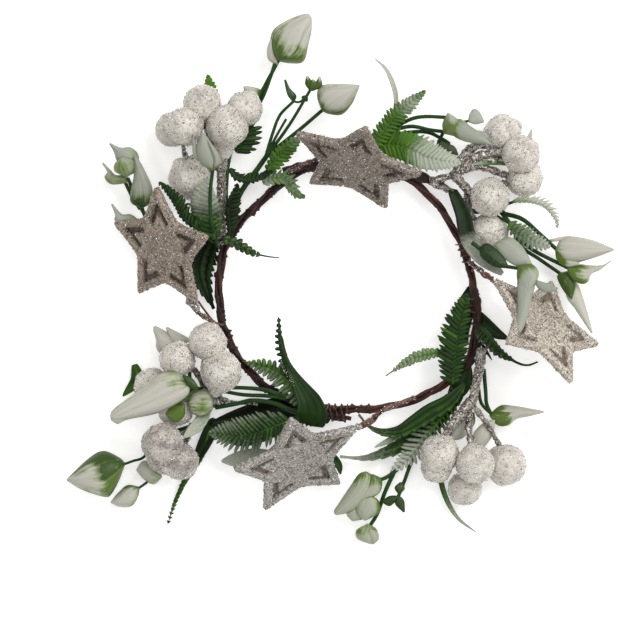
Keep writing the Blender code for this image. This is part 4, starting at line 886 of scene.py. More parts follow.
fronds = {
    "frond_n_right": {"route": [(13, 54, 17), (25, 52.5, 20), (35, 48.5, 20), (48, 46, 19)], "left": 8.6,
        "right": 7.4, "frost": [(0, 0), (0.34, 0.05), (0.5, 0.7), (1, 0.9)], "fill": 1.0, "shade": 0.66,
        "web": 0.82},
    "frond_n_tall": {"route": [(12.5, 51.5, 21), (16.5, 58, 22), (22.5, 65.5, 22), (28, 70.3, 21),
        (34, 75, 20)], "left": 4.2, "right": 5.2, "frost": [(0, 0), (0.5, 0.1), (0.75, 0.55), (1, 0.1)],
        "shade": 0.5, "fill": 0.95, "web": 0.5},
    "frond_n_left": {"route": [(-29, 43, 18), (-22, 52, 18.5), (-16, 56.5, 19)], "left": 3.6, "right": 5.2,
        "frost": [(0, 0), (0.6, 0.1), (1, 0.4)], "shade": 0.45},
    "frond_nw_inner": {"route": [(-41.5, 50.5, 11), (-39.5, 54, 11), (-38, 58, 10.5), (-37, 63, 9.3)],
        "left": 2.4, "right": 8.4, "shade": 0.2},
    "frond_nw_outer": {"route": [(-50, 64, 4), (-52, 71, 3.5), (-53, 82, 4)], "left": 3.2, "right": 4.2,
        "frost": [(0, 0), (1, 0.1)], "shade": 0.75},
    "frond_nw_curl": {"route": [(-31, 38.5, 13), (-24, 40.5, 13.5), (-20, 38.5, 13), (-17.5, 34, 12),
        (-14, 32.8, 11)], "left": 4.2, "right": 4.0, "fill": 1.4, "shade": 0.5, "frost": [(0, 0.6),
        (0.25, 0.25), (0.7, 0.3), (1, 0.2)], "pointed": True, "lean": 36.0, "web": 0.55},
    "frond_nw_small": {"route": [(-44, 43.8, 19.5), (-41.3, 40.2, 20), (-36, 39.2, 20), (-30.7, 40.6, 20),
        (-26.7, 43, 20)], "left": 3.4, "right": 1.6, "shade": 0.08, "pointed": True, "fill": 1.3,
        "rib": 0.9},
    "frond_nw_ring": {"route": [(-44, 19, 16), (-44, 29, 16.5), (-41, 38, 16.5)], "left": 2.0, "right": 5.0,
        "shade": 0.02, "web": 0.85},
    "frond_w_hole": {"route": [(-47, 16.5, 15.5), (-40, 13.5, 13), (-35, 10.5, 12), (-29, 9, 11),
        (-24, 8.5, 10)], "left": 3.1, "right": 3.1, "frost": [(0, 0.2), (1, 0.1)], "bare": 0.32,
        "shade": 0.34, "pitch": 2.3, "fill": 0.95, "lean": 42.0, "rib": 0.62, "ribShade": -0.14, "web": 0.5},
    "frond_w_dark": {"route": [(-57, 20, 23), (-62, 24, 23), (-66, 31, 23), (-72, 38.5, 23)], "left": 1.4,
        "right": 4.6, "shade": 0.18},
    "frond_w_frosted": {"route": [(-50, 16, 19), (-51, 24, 20), (-52.4, 32, 20), (-52.6, 39, 20)],
        "left": 9.5, "right": 4.6, "frost": [(0, 0.05), (0.35, 0.2), (0.6, 0.6), (1, 0.9)], "shade": 0.3,
        "fill": 1.2, "web": 0.9},
    "frond_s_hole": {"route": [(-11, -52, 15.5), (-18, -44, 15.5), (-24, -38, 14.5), (-31, -35, 13),
        (-39.5, -32.8, 12.5)], "left": 5.8, "right": 5.4, "fill": 0.92, "shade": 0.42, "frost": [(0, 0),
        (0.3, 0.05), (0.6, 0.1), (1, 0.1)], "tipFrost": 0.2, "pitch": 2.1, "lean": 8.0, "web": 0.4,
        "bare": 0.06, "leftFrost": 0.12},
    "frond_s_upright": {"route": [(-12, -47, 16), (-17.4, -39.4, 16.6), (-21, -33, 17), (-23.2, -26, 16),
        (-24.6, -15.4, 15)], "left": 3.7, "right": 1.0, "frost": [(0, 0.3), (0.3, 0.1), (1, 0.15)],
        "shade": 0.08, "fill": 0.66, "pitch": 2.3, "web": 0.5, "lean": 12.0, "rib": 1.0},
    "frond_s_root": {"route": [(-1, -53.5, 3), (-11, -54, 3), (-21, -54, 3)], "left": 6.0, "right": 5.0,
        "shade": 0.1},
    "frond_sw_broad": {"route": [(-20, -56.4, 15), (-30, -60.4, 16), (-40, -62.8, 16), (-52, -61.6, 15)],
        "left": 8.2, "right": 9.6, "frost": [(0, 0.05), (1, 0.2)], "tipFrost": 0.34, "shade": 0.3,
        "web": 0.6, "fill": 0.9, "lean": 26.0},
    "frond_sw_back": {"route": [(-52.5, -61, 1.6), (-55.5, -71, 1.6), (-61.5, -80, 1.8), (-65.5, -88, 2.2),
        (-69, -98, 3)], "left": 1.5, "right": 2.1, "shade": 0.4, "web": 0.85, "lean": 50.0, "pointed": True},
    "frond_e_ring": {"route": [(45, -42, 14), (46, -30, 15), (48, -18, 15), (51, -6, 14)], "left": 8.4,
        "right": 5.4, "shade": 0.25},
    "frond_e_hole": {"route": [(42, -29, 12), (33, -30.5, 12), (27, -33, 11.5), (18, -39, 11)], "left": 2.7,
        "right": 2.7, "frost": [(0, 0.28), (0.5, 0.36), (1, 0.42)], "shade": 0.62, "bare": 0.15, "rib": 0.7,
        "ribShade": -0.05},
    "frond_e_star": {"route": [(55.4, -18, 6.5), (58, -21, 14.5), (61, -24.8, 17.8), (64.2, -28.6, 16.8),
        (67.4, -31.4, 15.5), (71, -33.6, 14.3), (75, -34.5, 14), (79.5, -33, 13.5)], "left": 1.0,
        "right": 4.8, "bare": 0.3, "frost": [(0, 0.05), (1, 0.1)], "tipFrost": 0.2, "shade": 0.16,
        "pitch": 2.2, "lean": 12.0, "rib": 1.0, "web": 0.75},
    "frond_se_frosted": {"route": [(46, -49, 8), (40, -56, 9), (34.8, -62.8, 9.4), (30, -69.4, 9),
        (25, -74.2, 8), (20.4, -77.4, 7)], "left": 5.2, "right": 7.6, "fill": 0.66, "pitch": 2.2,
        "shade": 0.35, "web": 0.2, "rib": 0.7, "frost": [(0, 0), (0.35, 0.2), (0.6, 0.65), (1, 1)]},
    "frond_ne_tip": {"route": [(69, 31, 15), (76, 31, 15), (82, 29, 14), (86, 24, 13), (87, 20.5, 12)],
        "left": 4.6, "right": 1.4, "frost": [(0, 0.4), (0.3, 0.9), (1, 1)], "fill": 0.8, "shade": 0.5,
        "web": 0.5, "lean": 50.0, "pointed": True},
    "frond_ne_low": {"route": [(67.5, 22.5, 14.5), (72, 18.5, 14.5), (78, 15, 14), (84, 12.8, 13.5)],
        "left": 4.6, "right": 4.8, "frost": [(0, 0.2), (0.4, 0.35), (1, 0.85)], "fill": 0.8, "shade": 0.4},
}


def readAlong(share, lines):
    # each line of points, given at even shares of its length, read at others
    even = np.linspace(0, 1, len(lines[0]))
    return [np.column_stack([np.interp(share, even, line[:, k]) for k in range(3)]) for line in lines]


def frostAlong(form, share):
    # frost between its (share, amount) pairs
    at, amount = np.array(form["frost"], float).T
    return np.interp(share, at, amount)


def frondProfile(share):
    # how far leaflets reach, over the longest: sin(pi(0.16 + 0.84 s))^0.75
    return np.maximum(np.sin(math.pi * (0.16 + 0.84 * share)), 0) ** 0.75


def frondWeb(form, lines, pairs, sign, width):
    # where neighbouring leaflets are joined: from the rib out to web times their reach at share u, folded
    # like a fan by pleat cos(2 pi pairs s) u^0.6
    s = np.linspace(0, 1, 4 * pairs + 1)
    u = np.linspace(0, 1, 5)
    place, heading, side, up = readAlong(s * (1 - form["bare"]), lines)
    reach = form["web"] * np.maximum(width * frondProfile(s), 0.5)
    lean = math.radians(form["lean"]) + form["tipLean"] * s**3
    out = sign * np.cos(lean)[:, None] * side + np.sin(lean)[:, None] * heading
    fold = np.cos(2 * math.pi * pairs * s)[:, None] * u**0.6
    rise = form["pleat"] * fold - form["droop"] * reach[:, None] * u**2
    grid = place[:, None] + (reach[:, None] * u)[..., None] * out[:, None] + rise[..., None] * up[:, None]
    frost = frostAlong(form, s)[:, None] - form["webFrost"] * (1 - u)
    # painted light and shade: the web darker than the leaflets over it, and lighter on the crests of its fold
    # than in its hollows
    shade = form["shade"] + form["paintedWebShade"] + form["paintedRidgeLight"] * fold
    return sheets(grid[None], form["webThick"] * form["thick"], frost=frost[None], shade=shade[None])


def frondShells(form, seed):
    # leaflet i leaves the rib at share s; at u along it, it is fill pitches wide, times (1 - u)^0.7 if
    # pointed, else (1 - 0.2u) sqrt(1 - ((u - 0.62) / 0.38)^2 past 0.62), rolled and drooping as u^2
    pick = np.random.default_rng(seed)
    length = routeLength(smoothRoute(form["route"], form["lengthPoints"]))
    pairs = max(form["leastPairs"], round(length * (1 - form["bare"]) / form["pitch"]))
    fine = smoothRoute(form["route"], form["points"])
    lines = (fine, *routeFrame(fine))
    share = (np.arange(pairs) + 0.5) / pairs
    place, heading, side, up = readAlong(share * (1 - form["bare"]), lines)
    u = np.linspace(0, 1, form["rows"])
    v = np.array((-1.0, 0.0, 1.0))
    if form["pointed"]:
        taper = (1 - u) ** 0.7
    else:
        taper = (1 - 0.2 * u) * np.sqrt(1 - (np.clip(u - 0.62, 0, None) / 0.38) ** 2)
    half = 0.5 * form["pitch"] * form["fill"] * np.maximum(taper, form["leastTaper"])
    ridge = form["ridge"] * form["pitch"] * taper[:, None] * (1 - np.abs(v))
    # painted light and shade: each leaflet lighter along its ridge and darker at its foot by the rib
    relief = form["paintedRidgeLight"] * (1 - np.abs(v)) - form["paintedFootShade"] * (1 - u[None, :, None])
    shells = []
    for sign, width in ((1, form["left"]), (-1, form["right"])):
        reach = np.maximum(width * frondProfile(share), form["leastReach"])
        reach = reach * pick.uniform(*form["reachDraw"], pairs)
        lean = math.radians(form["lean"]) + pick.normal(0, form["leanDraw"], pairs)
        lean = lean + form["tipLean"] * share**3
        out = sign * np.cos(lean)[:, None] * side + np.sin(lean)[:, None] * heading
        roll = math.radians(form["roll"]) + pick.normal(0, form["rollDraw"], pairs)
        wide = np.cos(roll)[:, None] * unit(heading - (heading * out).sum(-1, keepdims=True) * out) \
            + np.sin(roll)[:, None] * up
        droop = form["droop"] * pick.uniform(*form["droopDraw"], pairs)
        line = place[:, None] + (reach[:, None] * u)[..., None] * out[:, None] \
            - (droop[:, None] * reach[:, None] * u**2)[..., None] * up[:, None]
        grid = line[:, :, None] + (half[None, :, None] * v)[..., None] * wide[:, None, None] \
            + ridge[None, ..., None] * up[:, None, None]
        frost = frostAlong(form, share)[:, None, None] + form["tipFrost"] * u[None, :, None]**2
        frost = frost + (form["leftFrost"] if sign > 0 else 0.0)
        shade = form["shade"] + pick.normal(0, form["shadeDraw"], (pairs, 1, 1)) + relief
        shells.append(sheets(grid, form["thick"], frost=frost, shade=shade))
        if form["web"] > 0:
            shells.append(frondWeb(form, lines, pairs, sign, width))
    even = np.linspace(0, 1, form["points"])[::2]
    rib = tube(fine[::2] + form["ribLift"] * lines[3][::2], form["rib"] * (1.1 - 0.75 * even),
               form["ribSides"], shade=form["shade"] + form["ribShade"],
               frost=form["ribFrost"] * frostAlong(form, even)[:, None])
    return shells + [rib]


# The plain leaves.
# Each leaf: route, full width, frost along it, how green it is. Those named leaf_* stand for the solids.
# Two of these numbers paint light and shade: one edge of each leaf lighter than the other, and the pleat
# crests of ribbed leaves lighter than their hollows.
leafForm = {
    "rows": 34, "columns": 7, "thick": 0.45, "frost": [(0, 0), (1, 0)], "fold": 0.3, "bend": 1.3,
    "blunt": 0.8, "swell": 1.0, "least": 0.12, "ribs": 0, "pleat": 0.35, "ribShade": 0.12, "ridge": 0.14,
    "ridgeWidth": 0.12, "paintedSideLight": 0.05, "teeth": 0, "toothRows": 8, "toothDepth": 0.0, "backTeeth": 1.0,
}
leaves = {
    "leaf_n_white": {"route": [(21, 64, 16), (22.4, 71, 16), (21.4, 77, 16), (18.4, 83.6, 16),
        (14, 88, 16)], "width": 1.9, "frost": [(0, 0.6), (0.3, 0.85), (1, 0.9)], "shade": 0.4},
    "leaf_ne_dark": {"route": [(45, 35, 14.5), (49, 26, 15), (51, 17, 15), (56, 9, 14.5), (65, 2, 13)],
        "width": 6.6, "frost": [(0, 0), (0.42, 0.05), (0.55, 0.6), (1, 0.8)], "shade": 0.02, "blunt": 0.5},
    "leaf_se_slender": {"route": [(42, -62, 2.5), (40.3, -72, 2.2), (40.2, -79, 2.2), (42.6, -88, 3),
        (47.4, -96, 3.5), (54.5, -101.5, 4)], "width": 2.1, "frost": [(0, 0), (0.5, 0.15), (0.75, 0.5),
        (1, 0.6)], "shade": 0.45},
    "leaf_sw_dark": {"route": [(-8, -50.4, 2.8), (-19, -51.4, 2.8), (-30, -53.4, 2.8), (-40, -55.6, 2.8),
        (-52, -58, 2.8)], "width": 9.8, "shade": -0.05},
    "leaf_s_grey": {"route": [(-28, -70, 6), (-38, -72, 6), (-47.5, -73, 6)], "width": 7.2,
        "frost": [(0, 0.5), (1, 0.75)], "shade": 0.4},
    "leaf_w_dark": {"route": [(-51.5, 15.5, 3.4), (-54.6, 9, 3.4), (-55.6, 2, 3.4), (-53.8, -4.4, 3.4),
        (-50.6, -12, 3.4)], "width": 12.4, "shade": 0.06, "swell": 0.6, "blunt": 1.1, "ribs": 3, "teeth": 9,
        "toothDepth": 0.34},
    "leaf_e_blade": {"route": [(53, -12, 4.6), (57.6, -17.8, 8.6), (62.4, -21.6, 11), (67.5, -24, 11)],
        "width": 5.8, "shade": 0.12},
    "blade_e_back": {"route": [(52, -3, 4.6), (50.2, -11, 4.6), (49.8, -19, 4.6), (51.4, -26.4, 4.6)],
        "width": 7.0, "shade": 0.04, "blunt": 1.4},
    "blade_s_notch": {"route": [(-9, -67, 8.5), (-3.6, -71.4, 9.6), (-0.6, -74.6, 10), (0.2, -78.2, 10)],
        "width": 4.2, "frost": [(0, 0), (1, 0.1)], "shade": 0.26},
    "leaf_sw_green": {"route": [(-82.6, -34.2, 2), (-81.6, -38, 1.8), (-82.4, -41.6, 1.8), (-87.2, -47, 2)],
        "width": 4.6, "shade": 0.42, "swell": 0.8},
    "blade_ne_twigs": {"route": [(47.5, 46.3, 12.2), (56, 48.2, 12.8), (63, 47.5, 13.2),
        (68.5, 45.5, 13.2)], "width": 5.2, "frost": [(0, 0.9), (0.35, 0.6), (0.6, 0.1), (1, 0.2)],
        "shade": 0.65},
    "blade_ne_spike": {"route": [(73.5, 53, 16.5), (75.6, 56.5, 16.5), (76.6, 60, 16)], "width": 1.7,
        "frost": [(0, 0.9), (1, 1)], "shade": 0.5},
    "blade_se_thin": {"route": [(55.8, -24.5, 12), (58, -28, 12), (60.8, -32.5, 12)], "width": 1.2,
        "shade": 0.0},
    "blade_sw_frost": {"route": [(-52.5, -53, 10.5), (-57, -58.5, 12), (-62.5, -63.5, 14)], "width": 5.0,
        "frost": [(0, 0.55), (1, 0.85)], "shade": 0.45},
    "blade_se_root": {"route": [(50.5, -33, 9), (48.5, -42, 9), (43, -50, 9)], "width": 8.0, "shade": 0.15},
    "blade_s_root": {"route": [(-12.6, -58.4, 16), (-11.4, -54, 17.4), (-12.2, -49.4, 18), (-14.6, -45, 18),
        (-17.8, -39.6, 17.6), (-20.6, -34.2, 17), (-22.6, -28, 16.6), (-23.4, -24, 16)], "width": 12.6,
        "shade": 0.22, "swell": 0.32, "blunt": 1.6, "fold": 0.12, "ribs": 4, "ribShade": 0.02,
        "pleat": 0.12},
    "blade_sw_back": {"route": [(-50, -56, 1.6), (-53, -63, 1.8), (-56.4, -70, 2), (-61, -79, 2.2)],
        "width": 5.6, "shade": 0.08, "swell": 0.6},
    "blade_se_spur": {"route": [(27, -59.6, 11.5), (20.4, -64.2, 11.5), (13.8, -67.4, 11)], "width": 2.4,
        "frost": [(0, 0.1), (0.5, 0.3), (1, 0.8)], "shade": 0.4},
}
# Broad folded straps that stand for two of the fern solids.
straps = {
    "frond_se_curl": {"route": [(50, -42, 12), (43.4, -49.4, 13), (36, -53.8, 13), (29.8, -57.8, 13),
        (24, -61, 13), (17.4, -61.4, 12.5), (11.6, -59, 12), (7.4, -54.2, 12)], "width": 7.6,
        "frost": [(0, 0), (0.5, 0.0), (0.75, 0.15), (1, 0.3)], "shade": 0.26, "swell": 0.75, "blunt": 1.5,
        "ribs": 3, "ribShade": 0.1, "teeth": 13, "toothDepth": 0.26, "backTeeth": 0.0},
    "frond_se_long": {"route": [(49, -47, 7), (42.5, -53, 7.4), (36.2, -59, 7.4), (29.5, -63.8, 7.4),
        (23.8, -67.2, 7.4), (17.1, -70, 7.4), (9.5, -71.8, 7.4), (0, -71.2, 7.4)], "width": 7.8,
        "frost": [(0, 0), (0.55, 0.05), (0.75, 0.3), (1, 0.8)], "shade": 0.28, "swell": 0.75, "blunt": 1.4,
        "ribs": 2, "ribShade": 0.1, "teeth": 14, "toothDepth": 0.34, "backTeeth": 0.4},
}


def leafShell(form):
    # width(s) = w sin(pi(0.1 + 0.88 s^swell))^blunt; the edges stand fold times the half width above the
    # middle, ribs adds as many shallow lengthwise pleats, and teeth as many saw teeth to each edge, those on
    # the right as deep as backTeeth of the others
    teeth, ribs = form["teeth"], form["ribs"]
    rows = max(form["rows"], form["toothRows"] * teeth)
    rib = smoothRoute(form["route"], rows)
    left, upright = routeFrame(rib)[1:]
    share = np.linspace(0, 1, rows)
    v = np.linspace(-1, 1, max(form["columns"], 4 * ribs + 1))
    swollen = np.sin(math.pi * (0.1 + 0.88 * share ** form["swell"])) ** form["blunt"]
    half = 0.5 * form["width"] * np.maximum(swollen, form["least"])
    pleats = np.cos(math.pi * ribs * v) if ribs else 0 * v
    rise = half[:, None] * (form["fold"] * np.abs(v) ** form["bend"] + form["pleat"] / max(ribs, 1) * pleats)
    depth = form["toothDepth"] * np.where(v > 0, 1.0, form["backTeeth"])
    saw = ((teeth * share) % 1.0)[:, None]
    across = half[:, None] * v * (1 - depth * (1 - saw))
    grid = rib[:, None] + across[..., None] * left[:, None] + rise[..., None] * upright[:, None]
    # On ribbed leaves the pleat crests are painted lighter and the hollows darker, painted light and shade;
    # without ribs the paler line is the midrib's own colour. One edge is painted lighter than the other, and
    # each tooth lighter towards its point and darker just past its cut, painted light and shade.
    line = form["ribShade"] * pleats if ribs else form["ridge"] * np.exp(-(v / form["ridgeWidth"]) ** 2)
    paintedNotchShade = depth * (saw - 0.5) * np.abs(v)
    shade = form["shade"] + line + form["paintedSideLight"] * v + paintedNotchShade
    frost = frostAlong(form, share)[:, None] + 0 * v
    return sheets(grid[None], form["thick"], frost=frost[None], shade=shade[None])


# The tulip buds. Each petal is (foot, places along its left edge, along its right edge, tip, heights at its
# foot and tip, crown, is it a closed pod, green at the foot as a share of its length, green along its edges
# or along each edge, how dark that green is); a minus there thins the green instead.
petalForm = {"rows": 28, "columns": 15, "thick": 0.4, "under": -0.75, "least": 0.22, "lowest": 0.3,
             "footSoft": 0.22, "edgeFade": 0.35}
budSprays = {
    "buds_north": {
        "stems": [
            (1.2, [(-44.5, 22, 12), (-40, 34, 12), (-33, 44, 12.3), (-28, 51, 12.5)]),
            (0.85, [(-29, 49.5, 12.4), (-17, 59, 13), (-7, 67.5, 14)]),
            (0.7, [(-29, 49.5, 12.4), (-20, 62, 13), (-11.6, 76, 15)]),
            (0.7, [(-30, 48, 12.3), (-27, 58, 12.5), (-24, 65.5, 12.8), (-18.6, 71, 13)]),
            (0.5, [(-18.6, 71, 13), (-16.5, 70.7, 13.2), (-14.8, 71.6, 13.6)]),
            (0.6, [(-29, 50, 12.4), (-25.5, 57, 12.6), (-21.5, 64, 12.6)]),
            (0.9, [(-44, 24, 11.8), (-45.6, 32, 8.5), (-45.4, 40, 8), (-44.5, 48, 7), (-42, 56, 5.5),
             (-37, 64, 5), (-33, 72, 6), (-24.6, 87.5, 11)]),
            (0.85, [(-35, 66.5, 5.2), (-31, 73, 6.5), (-28, 80.5, 9), (-26, 86.5, 11)])],
        "petals": [
            ((-24.4, 87.2), [(-27, 90.8), (-27.6, 95.6), (-26, 99.8), (-21.6, 102.8), (-16, 105.2),
             (-12.4, 105.6)], [(-19.7, 86.5), (-14.9, 87.2), (-13.2, 93.4), (-12, 99)], (-11.4, 104),
             (11.5, 13.5), 6.0, True, 0.42, 0.7, 0.25),
            ((-24, 87.4), [(-20, 92), (-16, 97.5), (-12.6, 101.5)], [(-19.4, 86.7), (-14.7, 87.5),
             (-13, 93.6), (-11.8, 99)], (-11.5, 103), (12.2, 13.4), 5.4, False, 0.5, (0.6, 1.25), 0.1),
            ((-25, 85.8), [(-28.4, 88), (-28.8, 92)], [(-25.6, 90)], (-27.6, 95.8), (11, 13), 1.4, True,
             0.15, 0.2, 0.3),
            ((-7.2, 67.3), [(-8.8, 72.3), (-8.4, 75.8), (-5.6, 77.4), (2, 77.5)], [(-4.1, 66.1), (0.6, 66),
             (4.4, 70), (6.3, 74)], (7.6, 77.2), (14, 15.5), 4.6, True, 0.3, 0.6, 0.15),
            ((-7, 67.5), [(-6.5, 72), (-1, 76)], [(-4, 66.3), (0.4, 66.3), (4.4, 70.2)], (7.4, 77.1),
             (14.6, 15.6), 4.2, False, 0.2, (0.3, 1.0), 0.1),
            ((-11.8, 75.2), [(-13.6, 78)], [(-11.2, 78)], (-13.1, 81), (14.6, 15.4), 0.8, True, 0.9, 0.6,
             0.6),
            ((-11.6, 75.2), [(-12, 78)], [(-9.4, 77.4)], (-10.7, 79.6), (15, 15.8), 0.8, True, 0.9, 0.6,
             0.4),
            ((-11.4, 75.2), [(-9.8, 77.8)], [(-7.6, 77)], (-8, 80.8), (14.6, 15.4), 0.8, True, 0.8, 0.6,
             0.5),
            ((-18.6, 70.8), [(-20.8, 74)], [(-17.8, 73.2), (-20.2, 76)], (-22, 79.6), (13, 13.8), 1.0,
             False, 1.3, 0.6, 1.0),
            ((-14.9, 71.4), [(-15, 72.8)], [(-13.2, 71.2)], (-13.2, 73.2), (13.5, 13.8), 0.4, True, 1.3,
             0.6, 1.0),
            ((-33.6, 71.4), [(-36.6, 72.6)], [(-31.8, 75.2), (-35, 76.6)], (-38.5, 77), (6.5, 8.5), 1.2,
             False, 0.5, 0.8, 0.4)],
    },
    "buds_west": {
        "skin": "thin",
        "stems": [
            (0.85, [(-74, 19, 8.5), (-78, 25, 9), (-79.6, 30, 9.5)]),
            (0.85, [(-74, 19, 8.5), (-80, 29, 8), (-85, 40.5, 10)]),
            (0.85, [(-80, 28, 8), (-83.2, 33, 8), (-86.2, 39, 8)]),
            (1.1, [(-46, 13, 4), (-52, 13, 1.8), (-60, 14.5, 2.2), (-67, 16.5, 5), (-75, 20.5, 8.5)]),
            (0.7, [(-74, 19, 8.5), (-78, 21.5, 8.6), (-81.5, 23.6, 9)])],
        "petals": [
            ((-79.4, 28.4), [(-83.4, 30.8), (-83.3, 35.8), (-82.2, 41)], [(-75.8, 30.8), (-75.4, 36.2),
             (-77.8, 42), (-80.6, 47.2)], (-82.2, 49), (10, 12.5), 3.8, True, 0.36, 0.3, 0.7),
            ((-79.2, 28.8), [(-80.4, 35), (-81.4, 43)], [(-75.9, 31), (-75.6, 36.4), (-78, 42.2)],
             (-82, 48.6), (11, 13), 3.4, False, 0.3, 0.2, 0.6),
            ((-84, 43), [(-88.8, 47.2), (-90.2, 51)], [(-81, 46.6), (-81.2, 50), (-84, 52.4), (-88, 52.4)],
             (-92.1, 54.2), (10.5, 11.5), 1.8, True, 0.55, 0.7, -0.45),
            ((-85.2, 41), [(-89.6, 43), (-89.8, 46)], [(-81.8, 43.4), (-82.2, 47.2)], (-87, 48.6),
             (11.6, 12.8), 2.2, True, 0.8, 0.6, -0.35),
            ((-85.6, 38.6), [(-91.4, 38.2), (-94, 40.8), (-93, 43)], [(-85.6, 41.2), (-90, 41.4),
             (-91.8, 43)], (-95, 46.4), (8.2, 8.8), 1.5, True, 0.8, 0.6, -0.3),
            ((-80.5, 23.3), [(-85, 22.6), (-89.8, 23.4), (-89.8, 26)], [(-84, 25.6), (-87.6, 25.8)],
             (-91.4, 30), (9, 11), 1.3, True, 0.35, 0.5, -0.3)],
    },
    "bud_north_west": {
        "skin": "thin",
        "stems": [
            (0.85, [(-48.5, 13.5, 9.5), (-50, 16.5, 16.5), (-51.4, 23, 23), (-51.7, 34, 23.8),
             (-50.6, 44, 24)])],
        "petals": [
            ((-50.8, 43), [(-55.4, 46.4), (-56.9, 51.6)], [(-48.6, 46.4), (-49.6, 50.6), (-52.4, 55.4)],
             (-54.8, 57.8), (24, 27), 2.6, True, 0.12, 0.3, 0.1),
            ((-50.4, 43.4), [(-50.6, 48)], [(-47.6, 46.6), (-49.2, 50.8)], (-52.6, 55), (25, 27.4), 2.4,
             False, 0.2, 0.5, 0.15),
            ((-52, 45), [(-57.8, 48.6)], [(-55.4, 49)], (-58.4, 55.6), (23.6, 25.6), 0.8, True, 0.15, 0.3,
             0.1)],
    },
    "buds_north_east": {
        "skin": "thin",
        "stems": [
            (1.2, [(6, 49.5, 11.5), (12, 54, 12), (20, 60, 12.5)]),
            (0.85, [(18, 58.5, 12.4), (30, 64.4, 13), (42, 64.6, 14), (44, 64.2, 14.6)]),
            (0.85, [(18, 58.5, 12.4), (28, 61, 12), (36, 59.6, 12), (42.5, 58.8, 13)]),
            (0.85, [(16, 57, 12.2), (33, 59, 10), (41, 56, 9), (44, 54, 9)]),
            (0.75, [(42.5, 60.5, 13.4), (40.5, 57, 11), (38.6, 52.4, 10)]),
            (0.6, [(46, 62.5, 15), (50, 62.8, 15.8), (52, 63.4, 16)])],
        "petals": [
            ((42.6, 61), [(47.6, 63.6), (52, 60.6), (56.4, 57.6)], [(46, 57), (50, 55.2), (54, 54.4)],
             (60.4, 53.6), (15, 19), 2.0, True, 0.3, 0.35, 0.05),
            ((41.6, 58.2), [(41.2, 62)], [(47.4, 57.4), (47.6, 62.6)], (43.2, 66.2), (15, 16.8), 2.0, False,
             0.7, 0.7, 0.12),
            ((51.4, 55.4), [(53, 58.4), (56.6, 58.6)], [(55.4, 54)], (59.4, 56.4), (16.8, 17.6), 1.0, True,
             0.1, 0.3, 0.1),
            ((51.4, 62.8), [(51.8, 65.4), (53.4, 67.6), (55.6, 66.4)], [(54.2, 62)], (57.4, 62.8),
             (16, 16.6), 1.0, False, 0.1, 0.3, 0.05),
            ((39, 55.6), [(41.6, 54.6), (45.6, 52.8)], [(40, 52.8), (43.6, 50.8)], (47.2, 49.6), (9.4, 9.8),
             1.0, False, 1.3, 0.6, 0.8)],
    },
    "buds_east": {
        "stems": [
            (1.1, [(49.5, 28.5, 4), (54, 27.2, 3.2), (60, 27.4, 3.4), (66, 26.6, 6)]),
            (0.95, [(65, 26.4, 5.8), (73, 24, 8), (80, 18, 9.4), (87, 11.6, 10)]),
            (0.9, [(65, 26.4, 5.8), (70, 20, 6), (76, 12.5, 8), (91.4, 4.4, 9)]),
            (0.85, [(69, 21, 6), (73, 13, 4.5), (80, 8, 4.5), (88.6, 2, 6)])],
        "petals": [
            ((86.6, 11.4), [(88, 15), (92, 16.7), (98, 15.9), (103.2, 14.4)], [(90, 7.6), (94.6, 7),
             (98.6, 7.9), (104, 9.6)], (109.4, 11.7), (10.5, 13.5), 3.0, True, 0.06, 0.15, 0.1),
            ((86.8, 11.6), [(92, 13.4), (100, 13.4)], [(90, 8), (94.6, 7.3), (98.6, 8.1), (104, 9.8)],
             (109, 11.7), (11.6, 14), 2.6, False, 0.08, 0.22, 0.1),
            ((86.3, 12), [(90.4, 10.8), (94.4, 8.6)], [(87.2, 7.6), (90.8, 5.2)], (95.6, 5.8), (10.4, 11.6),
             1.6, False, 0.6, 0.5, 0.05),
            ((83.4, 15.2), [(88, 16.4)], [(88, 15.6)], (92.4, 17), (10, 11.6), 0.4, False, 0.2, 0.3, 0.1),
            ((91, 4.6), [(95.9, 5.5), (100.7, 5.1), (105, 5.3)], [(92.6, 0.6), (96.2, -1.6), (99, -1),
             (100.6, 2.2), (104.2, 4)], (108.5, 7.3), (9.8, 11), 1.6, True, 0.4, 0.4, 0.05),
            ((93, 0.2), [(95.6, -3.2), (98.2, -11), (99.8, -17)], [(90.9, -6.4), (94.3, -11.6),
             (98.2, -17.6)], (100.9, -21.6), (5.5, 9), 1.2, False, 0.04, 0.1, 0.1),
            ((88, 2.3), [(93.2, 2.8), (94.2, -2)], [(87.4, 0.4), (89.9, -4.6)], (92.8, -7.8), (6.6, 8), 1.8,
             True, 1.3, 0.5, 0.5)],
    },
    "bud_east_fall": {
        "skin": "thin",
        "stems": [
            (0.85, [(52.5, 14.5, 18.5), (57, 11, 18.5), (62, 6.5, 20), (66, 5, 21.5), (72, 4, 23)])],
        "petals": [
            ((71, 4.2), [(70.6, -4), (70.7, -13)], [(77, -1), (75.6, -8), (74.4, -13), (72, -20)],
             (68.9, -22.8), (24, 38.5), 1.5, True, 0.05, 0.28, 0.1),
            ((70.8, 5), [(75.8, 5.6), (78.6, 2.8), (77.8, -1)], [(70.6, 0), (72.4, -5.6)], (74.6, -5),
             (25.2, 30), 1.5, False, 0.42, 0.6, 0.2),
            ((76.8, -0.5), [(81, -1.8)], [(79.5, -4.2), (83, -5.2)], (86.4, -4), (27, 31), 0.8, True, 0.05,
             0.3, 0.1),
            ((61.5, 13.6), [(67, 16.4), (72.4, 12.6)], [(65.6, 8.4), (70.4, 5.4)], (76.6, 5), (19.4, 24),
             1.8, False, 0.1, 0.5, 0.3),
            ((55.6, 12.4), [(59, 13.8), (64.6, 9)], [(56.6, 8.6), (61.6, 5.2)], (67, 4.4), (18.8, 22), 1.2,
             False, 1.2, 0.5, 0.95)],
    },
    "bud_south_east": {
        "stems": [
